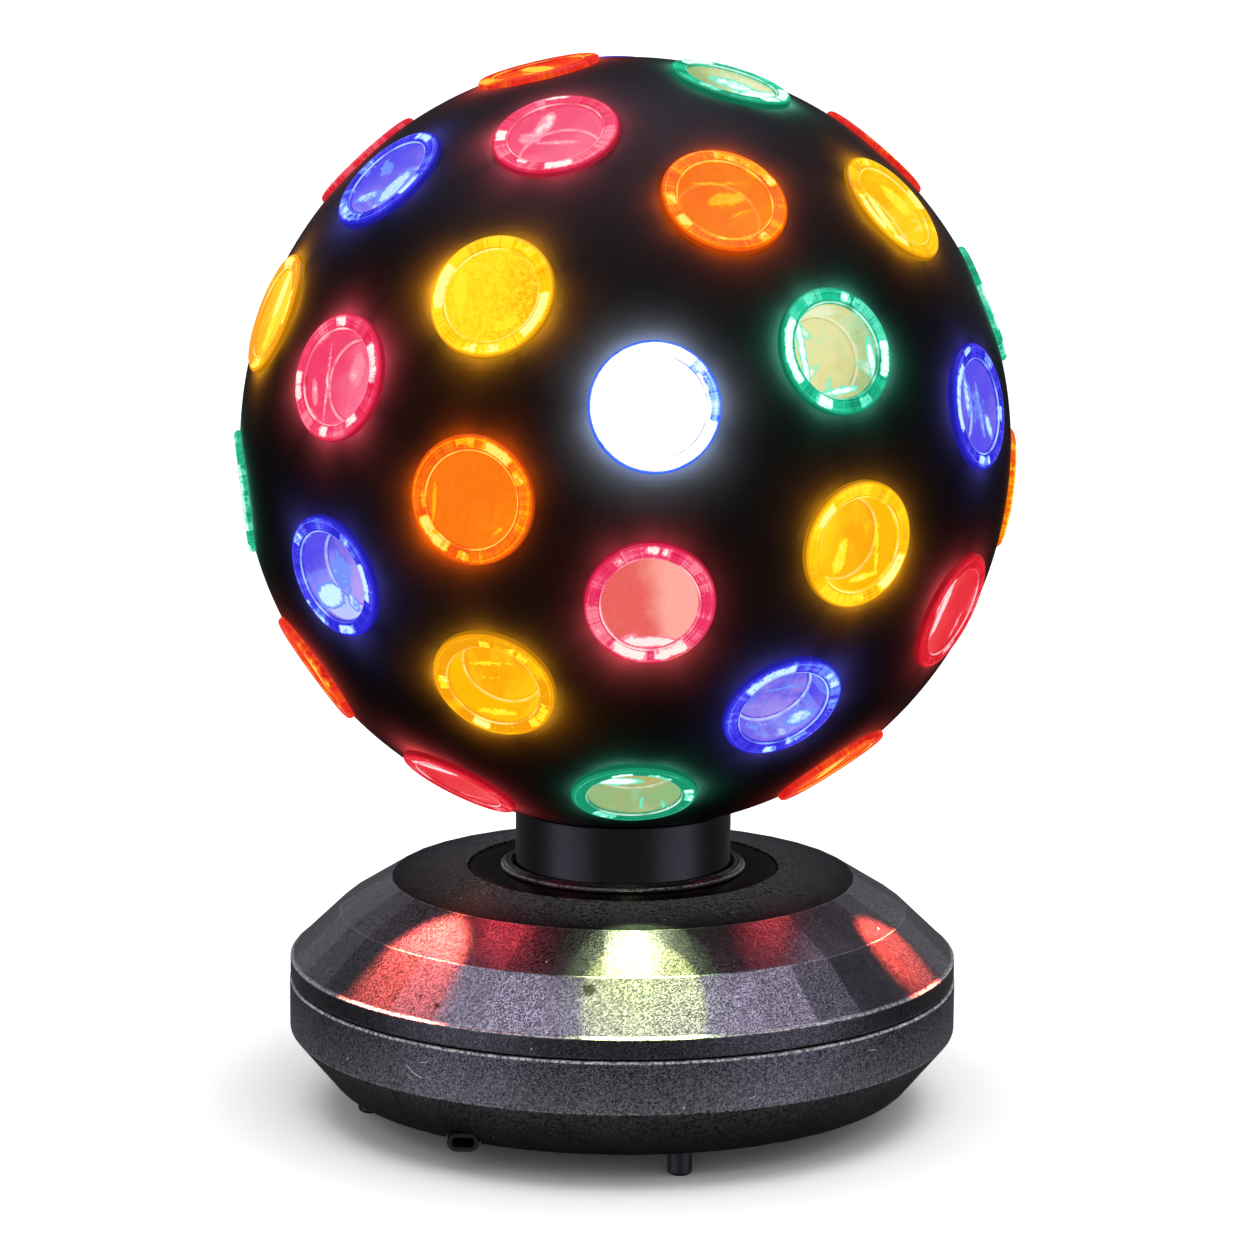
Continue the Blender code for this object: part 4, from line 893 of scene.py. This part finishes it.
# Radius and height (mm) round the section of a lens's ring and cup, and of its window
RING_PROFILE = (
    (14.9, -1.7), (14.95, -1.22), (15.8, -1.22), (15.8, -0.6), (15.76, -0.3), (15.62, -0.02),
    (15.38, 0.24), (15.05, 0.42), (14.6, 0.52), (14.2, 0.515), (13.6, 0.505), (13, 0.49), (12.5, 0.475),
    (12.2, 0.46), (11.95, 0.4), (11.8, 0.24), (11.62, -0.05), (11.56, -0.4), (11.3, -1), (10.95, -1.6),
    (10.8, -2.2), (10.62, -5.9), (10.5, -6.35), (10.15, -6.65), (9.7, -6.75), (9.2, -6.8), (0, -6.9),
    (0, -7.5), (10.7, -7.4), (11.3, -6.6), (11.6, -2.4), (12.6, -1.7),
)
WINDOW_PROFILE = (
    (0, -0.06), (1, -0.06), (2, -0.06), (3, -0.065), (4, -0.065), (5, -0.07), (6, -0.075), (7, -0.08),
    (8, -0.085), (8.8, -0.09), (9.5, -0.09), (10.2, -0.095), (10.8, -0.1), (11.3, -0.1), (11.52, -0.16),
    (11.52, -0.36), (11.3, -0.42), (0, -0.42),
)


def lens_mesh(name):
    """A ring with a cup behind it, and a clear window over the cup."""
    bm = bmesh.new()
    for index, profile in enumerate((RING_PROFILE, WINDOW_PROFILE)):
        part = turned("part", [(r * MM, z * MM) for r, z in profile], LENS_STEPS, 40)
        for face in part.polygons:
            face.material_index = index
        bm.from_mesh(part)
        bpy.data.meshes.remove(part)
    return mesh_of(name, bm)


def ring_light(angle, lights, soft=1.5):
    """How bright the ring's patches make it at each angle (degrees)."""
    hot = np.zeros(len(angle))
    for middle, width, _, _, strength in lights:
        away = np.abs((angle - middle + 180) % 360 - 180)
        hot = np.maximum(hot, strength * np.clip((width / 2 + soft - away) / (2 * soft), 0, 1))
    return hot


def light_lens(mesh, number):
    """Writes where a lens's ring and disc are brightest, and its lit side."""
    points = coordinates(mesh) / MM
    x, y, z = points.T
    radius = np.hypot(x, y)
    angle = np.degrees(np.arctan2(y, x))
    on_disc = (radius < DISC_RADIUS) & (z > DISC_DEPTH)
    hot = np.zeros(len(points))
    for light in RING_LIGHTS.get(number, ()):
        inner, outer = light[2:4]
        if number in EDGE_ON:
            outer = LENS_RADIUS / MM
        within = np.clip((outer + 0.3 - radius) / 0.6, 0, 1) * np.clip((radius - inner + 0.3) / 0.6, 0, 1)
        hot = np.maximum(hot, ring_light(angle, (light,)) * within * ~on_disc)
    for left, up, wide, high, turn, strength in DISC_LIGHTS.get(number, ()):
        lean = math.radians(turn)
        across = (x - left) * math.cos(lean) + (y - up) * math.sin(lean)
        along = (y - up) * math.cos(lean) - (x - left) * math.sin(lean)
        away = np.hypot(across / wide, along / high)
        hot = np.maximum(hot, strength * np.clip(1.75 - away, 0, 1) * on_disc)
    facing, strength, disc, ring, veil = LENS_TONES.get(number, USUAL_TONE)
    lit = math.radians(facing)
    across = (x * math.cos(lit) + y * math.sin(lit)) / 11.5
    set_floats(mesh, "hot", hot)
    set_floats(mesh, "side", np.where(radius < DISC_RADIUS, strength * across + disc, ring))
    set_floats(mesh, "veil", veil)
    set_floats(mesh, "outline", 0.15 if number in EDGE_ON else 1)
    set_floats(mesh, "mottle", MOTTLED.get(number, 0))


def make_lenses(lenses):
    finishes = {
        name: (lens_body_material(name, look), lens_window_material(name, look))
        for name, look in LENS_LOOKS.items()
    }
    for name, node, azimuth, latitude, colour, look, number in lenses:
        mesh = lens_mesh(name)
        light_lens(mesh, number)
        matrix = lens_matrix(azimuth, latitude)
        place_piece(name, mesh, finishes[look], "ball", (node,), "lens_" + colour, matrix)


# Ball
def lens_axis(azimuth, latitude):
    tilt = math.radians(latitude)
    return point_at(azimuth, math.cos(tilt), math.sin(tilt))


def ball_mesh(axes):
    """A fine skin with round openings for the lenses, the neck and the vent."""
    bm = bmesh.new()
    bmesh.ops.create_icosphere(bm, subdivisions=BALL_DETAIL, radius=BALL_RADIUS)
    holes = [(axis, LENS_HOLE_RADIUS) for axis in axes]
    holes += [(Vector((0, 0, -1)), OPENING_RADIUS), (Vector((0, 0, 1)), VENT_RADIUS)]
    bm.verts.ensure_lookup_table()
    points = np.array([vert.co for vert in bm.verts])
    away = []
    for axis, radius in holes:
        along = points @ np.array(axis)
        across = np.sqrt(np.maximum((points**2).sum(axis=1) - along**2, 0))
        away.append(np.where(along > 0, across, 1) - radius)
    gone = np.min(away, axis=0) < -HOLE_SLACK
    bmesh.ops.delete(bm, geom=[bm.verts[i] for i in np.flatnonzero(gone)], context="VERTS")
    for vert in [vert for vert in bm.verts if vert.is_boundary]:
        near = []
        for axis, radius in holes:
            across = vert.co - axis * vert.co.dot(axis)
            if vert.co.dot(axis) > 0:
                near.append((abs(across.length - radius), axis, radius, across))
        _, axis, radius, across = min(near, key=lambda hole: hole[0])
        vert.co = axis * math.sqrt(BALL_RADIUS**2 - radius**2) + across.normalized() * radius
    loose = [vert for vert in bm.verts if not vert.link_faces]
    bmesh.ops.delete(bm, geom=loose, context="VERTS")
    mesh = mesh_of("ball_skin", bm)
    mesh.shade_smooth()
    return mesh


def make_ball(lenses):
    """The skin, which carries the glow round each lens."""
    axes = [lens_axis(*lens[2:4]) for lens in lenses]
    mesh = ball_mesh(axes)
    points = coordinates(mesh)
    axes = np.array(axes)
    unit = points / np.linalg.norm(points, axis=1)[:, None]
    arc = BALL_RADIUS * np.arccos(np.clip(unit @ axes.T, -1, 1))
    away = np.maximum(arc - BALL_RADIUS * math.asin(LENS_RADIUS / BALL_RADIUS), 0)
    centre = axes[BRIGHTEST - 1]
    glow = np.zeros((len(points), 3))
    for axis, gaps, (_, _, azimuth, latitude, _, name, number) in zip(axes, away.T, lenses):
        reach = np.flatnonzero(gaps < GLOW_REACH)
        turn = np.array(lens_matrix(azimuth, latitude).to_3x3())
        own = points[reach] @ turn
        angle = np.degrees(np.arctan2(own[:, 1], own[:, 0]))
        boost = 0.4 + 1.6 * ring_light(angle, RING_LIGHTS.get(number, ()), 24)
        apart = (axis - centre * (axis @ centre)) @ turn
        boost *= 1 + GLOW_LEAN * (own[:, :2] @ apart[:2] / np.linalg.norm(own[:, :2], axis=1))
        for tone, fade in ((LENS_LOOKS[name].near, GLOW_NEAR), (LENS_LOOKS[name].tail, GLOW_TAIL)):
            glow[reach] += (boost * np.exp(-gaps[reach] / fade))[:, None] * tone
    layer = mesh.attributes.new("glow", "FLOAT_VECTOR", "POINT")
    layer.data.foreach_set("vector", glow.astype(np.float32).ravel())
    matrix = Matrix.Translation(BALL_CENTRE)
    nodes = ("ball_shell",)
    skin = place_piece("ball_skin", mesh, (ball_material(),), "ball", nodes, "ball_plastic", matrix)
    wall = skin.modifiers.new("wall", "SOLIDIFY")
    wall.thickness = BALL_WALL
    wall.offset = -1


# Neck and what is round it
def make_neck():
    satin = satin_material("satin_plastic_neck", (0.006, 0.006, 0.0062), 0.22, 0.34)
    spigot = NECK_RADIUS - 0.0033
    shoulder_out, shoulder_in = (
        BALL_CENTRE.z - math.sqrt(BALL_RADIUS**2 - radius**2) - gap
        for radius, gap in ((NECK_RADIUS, 0.0002), (spigot, 0.0003))
    )
    bore = NECK_RADIUS - 0.0025
    rim = shoulder_in + 0.009
    profile = [(NECK_BORE, NECK_BOTTOM), (NECK_FLANGE, NECK_BOTTOM), (NECK_FLANGE, NECK_FLOOR)]
    profile += [(NECK_RADIUS, NECK_FLOOR), (NECK_RADIUS, shoulder_out)]
    profile += [(spigot, shoulder_in), (spigot, rim)]
    profile += [(spigot - 0.0025, rim), (spigot - 0.0025, shoulder_in), (bore, shoulder_in - 0.003)]
    profile += [(bore, NECK_FLOOR), (NECK_BORE, NECK_FLOOR)]
    mesh = turned("neck_tube", rounded(profile, 0.0004), 128)
    place_piece("neck_tube", mesh, (satin,), "ball", ("neck_hub",), "satin_plastic")

    plate = satin_material("satin_plastic_plate", (0.004, 0.004, 0.0044), 0.28, 0.12, 2.2)
    outer = PLATE_RADIUS - GROOVE_WIDTH
    bottom = PLATE_TOP - 0.002
    profile = [(SLEEVE_RADIUS, bottom), (outer, bottom), (outer, PLATE_TOP), (SLEEVE_RADIUS, PLATE_TOP)]
    mesh = turned("plate_disc", rounded(profile, 0.0003), 152)
    place_piece("plate_disc", mesh, (plate,), "base", ("top_plate",), "satin_plastic")

    inner = SLEEVE_RADIUS + 0.0003
    outer = inner + 0.0028
    bottom = PLATE_TOP + 0.0002
    top = bottom + 0.0016
    profile = [(inner, bottom), (outer, bottom), (outer, top - 0.0011), (outer - 0.0005, top - 0.0006)]
    profile += [(outer - 0.0009, top - 0.0006), (outer - 0.0013, top), (inner, top)]
    mesh = turned("collar_trim", rounded(profile, 0.00018), 152, 50)
    across = np.hypot(*coordinates(mesh).T[:2])
    # Both edges of the collar are made bright: rubbed wear and a painted highlight.
    edges = [np.clip(1 - np.abs(across - at) / 0.0004, 0, 1) for at in (inner + 0.0001, outer - 0.0004)]
    set_floats(mesh, "wear_and_highlight", 0.8 * np.maximum(*edges))
    set_floats(mesh, "facet", 0.6)
    place_piece("collar_trim", mesh, (GRAINED,), "base", ("collar_ring",), "grained_plastic")


# Base
def facet_ring(radius, height, faceted):
    """Points round the base: along the flats, or on a circle, with narrow corner strips."""
    points = []
    corner = [point_at(FACET_PHASE + 360 * i / FACETS, radius, height) for i in range(FACETS)]
    for index, start in enumerate(corner):
        end = corner[(index + 1) % FACETS]
        strip = min(0.2, FACET_EDGE / (end - start).length)
        for share in (strip, 0.34, 0.66, 1 - strip):
            if faceted:
                points.append(start.lerp(end, share))
            else:
                points.append(point_at(FACET_PHASE + 360 * (index + share) / FACETS, radius, height))
    return points


def beside(corner, other, distance):
    """A point near a corner of a profile, on the way to another."""
    corner = Vector(corner)
    return tuple(corner + (Vector(other) - corner).normalized() * distance)


def make_upper_shell():
    rows = [(TIERS[0], True, 0.35)]
    for before, corner, after in zip(TIERS, TIERS[1:], TIERS[2:]):
        rows.append((beside(corner, before, 0.00032), True, 0))
        rows.append((corner, True, 0.22))
        rows.append((beside(corner, after, 0.00032), True, 0))
    rows += [(beside(TIERS[-1], TIERS[-2], 0.0004), True, 0), (TIERS[-1], True, 0.4)]
    rows += [((BASE_RADIUS - 0.0002 - inset, height), False, mark) for inset, height, mark in LIP_PROFILE]
    rows += [(corner, False, 0) for corner in SHELL_INSIDE]
    rings = [facet_ring(*corner, faceted) for corner, faceted, _ in rows]
    mesh = smoothed(ring_mesh("base_tiers", rings), 50)
    # Corners of the tiers and the lip's edges are made bright: rubbed wear and a painted highlight.
    set_floats(mesh, "wear_and_highlight", np.repeat([mark for _, _, mark in rows], FACETS * 4))
    tones = np.random.default_rng(7).random((8, FACETS))
    heights = coordinates(mesh)[:, 2]
    band = np.searchsorted([-height for _, height in TIERS[1:]], -heights - 0.0002)
    flat = (np.arange(len(mesh.vertices)) // 4) % FACETS
    set_floats(mesh, "facet", tones[band, flat])
    for face in mesh.polygons:
        if face.center.z < RIM - 0.0005:
            face.material_index = 1
        elif face.center.z > TIERS[1][1] + 0.0001:
            face.material_index = 2
    # The lip's plastic is a darker copy of the grained one, as painted shade.
    finish = (GRAINED, grained_material("grained_plastic_lip_shaded", 0.8, 0.12, 0.7), DULL_SHADED_TOP)
    piece = place_piece("base_tiers", mesh, finish, "base", ("base_upper_shell",), "grained_plastic")
    normals = piece.modifiers.new("normals", "WEIGHTED_NORMAL")
    normals.keep_sharp = True


def cylinder(name, centre, radius, bottom, top, steps=48):
    mesh = turned(name, [(0, bottom), (radius, bottom), (radius, top), (0, top)], steps)
    mesh.transform(Matrix.Translation((centre[0], centre[1], 0)))
    return mesh


def combined(mesh, tools, operation):
    """The mesh after a Boolean with each tool in turn."""
    base = add_object("work", mesh)
    helpers = []
    for tool in tools:
        helper = add_object("tool", tool)
        step = base.modifiers.new("step", "BOOLEAN")
        step.object = helper
        step.operation = operation
        step.solver = "EXACT"
        helpers.append(helper)
    bpy.context.view_layer.update()
    graph = bpy.context.evaluated_depsgraph_get()
    result = bpy.data.meshes.new_from_object(base.evaluated_get(graph))
    for thing in [base, *helpers]:
        bpy.data.objects.remove(thing, do_unlink=True)
    return result


def oval(width, height, steps=10):
    radius = height / 2
    reach = width / 2 - radius
    points = []
    for side, start in ((1, -90), (-1, 90)):
        for step in range(steps + 1):
            angle = math.radians(start + 180 * step / steps)
            points.append((side * reach + radius * math.cos(angle), radius * math.sin(angle)))
    return points


def notch_mesh():
    width, height = 0.0088, 0.0056
    arch = [point for point in oval(width, height) if point[1] > 0]
    outline = [(-width / 2, -0.0017), (width / 2, -0.0017), (width / 2, 0), *arch, (-width / 2, 0)]
    bm = bmesh.new()
    loops = []
    for y in (-BASE_RADIUS, GROMMET_PLACE.y + 0.0245):
        loops.append([bm.verts.new((GROMMET_PLACE.x + x, y, GROMMET_PLACE.z + z)) for x, z in outline])
    for near in range(len(outline)):
        far = (near + 1) % len(outline)
        bm.faces.new((loops[0][near], loops[0][far], loops[1][far], loops[1][near]))
    bm.faces.new(loops[0][::-1])
    bm.faces.new(loops[1])
    bmesh.ops.recalc_face_normals(bm, faces=bm.faces)
    return mesh_of("notch", bm)


def make_lower_shell():
    mesh = turned("base_tub", TUB_PROFILE, 176)
    raised = [cylinder("tower", (0, 0), 0.012, FLOOR_TOP - 0.0006, 0.0362)]
    cuts = [cylinder("tower_bore", (0, 0), 0.0083, FLOOR_TOP, 0.0372)]
    for azimuth in SCREW_AZIMUTHS:
        centre = point_at(azimuth, SCREW_CIRCLE)
        raised.append(cylinder("boss", centre, 0.0052, FLOOR_TOP - 0.0006, 0.0235))
        cuts.append(cylinder("well", centre, SCREW_HEAD_RADIUS + 0.0003, CUT_BOTTOM, 0.0195))
        cuts.append(cylinder("bore", centre, 0.0018, CUT_BOTTOM, 0.0245, 24))
    for azimuth in FOOT_AZIMUTHS:
        cuts.append(cylinder("hole", point_at(azimuth, FOOT_CIRCLE), 0.0024, CUT_BOTTOM, 0.0112, 32))
    cuts.append(notch_mesh())
    mesh = combined(mesh, raised, "UNION")
    mesh = combined(mesh, cuts, "DIFFERENCE")
    mesh.name = "base_tub"
    for face in mesh.polygons:
        face.material_index = int(face.center.z < TAPER_TOP - 0.0001)
    smoothed(mesh, 35)
    x, y, z = coordinates(mesh).T
    across = np.hypot(x, y)
    # A thin bright line on the seam's bevel, and the shoulder's edge: rubbed wear and a painted
    # highlight.
    rim = 1 * (np.abs(z - SEAM + 0.00036) < 0.0002) * (across > 0.088)
    shoulder = np.clip(1 - np.abs(z - TAPER_TOP) / 0.0006, 0, 1) * (across > 0.087) * 0.4
    set_floats(mesh, "wear_and_highlight", np.maximum(rim, shoulder))
    finish = (tub_material(), taper_material())
    place_piece("base_tub", mesh, finish, "base", ("base_lower_shell",), "grained_plastic")


def make_feet_and_grommet():
    rubber = satin_material("foot_rubber_matt", (0.006, 0.006, 0.0063), 0.5, 0.25, 1.8)
    for number, azimuth in enumerate(FOOT_AZIMUTHS, 1):
        ends = rounded(FOOT_PROFILE[1:-1], 0.0004, closed=False)
        name = f"foot_peg_{number}"
        mesh = turned(name, [FOOT_PROFILE[0], *ends, FOOT_PROFILE[-1]], 48)
        matrix = Matrix.Translation(point_at(azimuth, FOOT_CIRCLE))
        place_piece(name, mesh, (rubber,), "base", (f"foot_{number}",), "foot_rubber", matrix)
    outer = oval(0.0082, 0.005)
    slot = oval(0.0056, 0.0024)
    length = 0.0165
    rows = [(outer, 0.93, 0), (outer, 1, 0.0004), (outer, 1, length - 0.0004), (outer, 0.93, length)]
    rows += [(slot, 1.05, length), (slot, 1, length - 0.0003), (slot, 1, 0.0003), (slot, 1.1, 0)]
    rings = [[(x * share, y, z * share) for x, z in outline] for outline, share, y in rows]
    mesh = smoothed(ring_mesh("cord_gland", rings), 40)
    matrix = Matrix.Translation(GROMMET_PLACE)
    place_piece("cord_gland", mesh, (rubber,), "base", ("cord_grommet",), "foot_rubber", matrix)


# Inner pieces keep their CAD shape
def dress_nodes():
    white = satin_material("bearing_plastic_natural", (0.74, 0.73, 0.68), 0.4, 0.5)
    zinc = metal_material("zinc_steel_plated", (0.6, 0.61, 0.62), 0.28)
    finishes = {
        "bearing_bush": white,
        "ring_gear": white,
        "pinion": white,
        "lock_ring": satin_material("satin_plastic_inner", (0.014, 0.014, 0.015), 0.36, 0.45),
        "gear_motor": zinc,
        "lamp_post": metal_material("post_steel_drawn", (0.48, 0.48, 0.5), 0.32),
        "light_head": metal_material("heat_sink_cast", (0.72, 0.73, 0.75), 0.38),
        "driver_board": board_material(),
    }
    led = led_material()
    for name, node in frame["nodes"].items():
        if node.hide_render:
            continue
        finish = zinc if "screw" in name else led if name.startswith("led_") else finishes.get(name)
        if finish:
            for slot in node.material_slots:
                slot.material = finish


# Studio
def make_floor():
    bm = bmesh.new()
    bmesh.ops.create_circle(bm, cap_ends=True, radius=FLOOR_SIZE, segments=96)
    mesh = mesh_of("floor", bm)
    mesh.materials.append(floor_material())
    floor = add_object("floor", mesh)
    floor.visible_glossy = False


def make_world():
    """White behind the lamp, soft light all round, and a few bright fields in reflections."""
    world = bpy.data.worlds.new("studio")
    bpy.context.scene.world = world
    graph = Graph(world)
    x, y, z = graph.split(graph.node("TexCoord", output="Generated"))
    turn = abs(graph.math("ARCTAN2", x, y * -1))
    flank = turn.step(3.05, 2.72) * turn.step(1.9, 2.3) * z.step(0.62, 0.3) * z.step(0, 0.1)
    low = z.step(0.12, 0) * z.step(-0.75, -0.45)
    under = graph.layered(
        UNDER_LIGHT[0],
        (turn.step(1.9, 1.2), UNDER_LIGHT[1]),
        (abs(turn - 0.98).step(0.58, 0.12), UNDER_LIGHT[2]),
    )
    mirror = graph.mix(flank, *FLANK_LIGHT)
    mirror = graph.layered(mirror, (low, under), (z.step(0.66, 0.93), CEILING_LIGHT))
    colour = graph.layered(
        SOFT_LIGHT,
        (graph.node("LightPath", output="Is Glossy Ray"), mirror),
        (graph.node("LightPath", output="Is Camera Ray"), WHITE),
    )
    graph.node("OutputWorld", (graph.node("Background", (colour,)),))


def add_light(name, kind, **settings):
    lamp = bpy.data.lights.new(name, kind)
    for setting, value in settings.items():
        setattr(lamp, setting, value)
    return add_object(name, lamp)


def make_lights():
    key = add_light("key", "SUN", energy=0.92, angle=math.radians(50))
    key.rotation_euler = (math.radians(18), math.radians(11), 0)
    key.visible_glossy = False


def make_beams():
    """The light of the lowest lenses, which the base mirrors. It turns with the ball."""
    for number, (azimuth, latitude, colour, size, power) in enumerate(BEAMS, 1):
        beam = add_light(f"beam_{number}", "AREA", shape="DISK", size=size, color=colour, energy=power)
        beam.parent = frame["bodies"]["ball"]
        out = lens_matrix(azimuth, latitude) @ Matrix.Translation((0, 0, 0.0012))
        beam.matrix_world = out @ Matrix.Rotation(math.pi, 4, "X")
        beam.visible_camera = False
        beam.visible_diffuse = False


def make_spots():
    """Spots that the light inside the ball throws on the base through the lowest lenses."""
    lit = bpy.data.collections.new("lit_by_spots")
    lit.objects.link(bpy.data.objects["base_tiers"])
    for number, (start, end, cone, colour, blend, power) in enumerate(SPOTS, 1):
        spot = add_light(f"spot_{number}", "SPOT", color=colour, energy=power)
        spot.data.spot_size = math.radians(cone)
        spot.data.spot_blend = blend
        spot.data.shadow_soft_size = SPOT_RADIUS
        spot.parent = frame["bodies"]["ball"]
        place = Vector(start) * MM
        way = Vector(end) * MM - place
        turn = way.to_track_quat("-Z", "Y").to_matrix().to_4x4()
        spot.matrix_world = Matrix.Translation(place) @ turn
        spot.visible_camera = False
        spot.visible_glossy = False
        spot.light_linking.receiver_collection = lit


def make_camera():
    data = bpy.data.cameras.new("camera")
    data.sensor_width = 36
    data.lens = FOCAL_PIXELS / IMAGE_PIXELS * data.sensor_width
    data.clip_start = 0.01
    data.clip_end = 200
    camera = add_object("camera", data)
    pitch, yaw, roll = (math.radians(v) for v in (CAMERA_PITCH, CAMERA_YAW, CAMERA_ROLL))
    turn = Matrix.Rotation(-yaw, 4, "Z") @ Matrix.Rotation(math.pi / 2 - pitch, 4, "X")
    camera.matrix_world = Matrix.Translation(CAMERA_PLACE) @ turn @ Matrix.Rotation(roll, 4, "Z")
    bpy.context.scene.camera = camera


bpy.context.scene.view_settings.view_transform = "Standard"
bpy.context.scene.view_settings.look = "None"
make_camera()
GRAINED = grained_material()
# The top tier's plastic is a darker, duller copy of the grained one, as painted shade under the ball.
DULL_SHADED_TOP = grained_material("grained_plastic_top_shaded", 0.5, 0.06, 0.3)
LENSES = list_lenses()
make_ball(LENSES)
make_lenses(LENSES)
make_neck()
make_upper_shell()
make_lower_shell()
make_feet_and_grommet()
dress_nodes()
make_floor()
make_world()
make_lights()
make_beams()
make_spots()
bpy.context.view_layer.update()
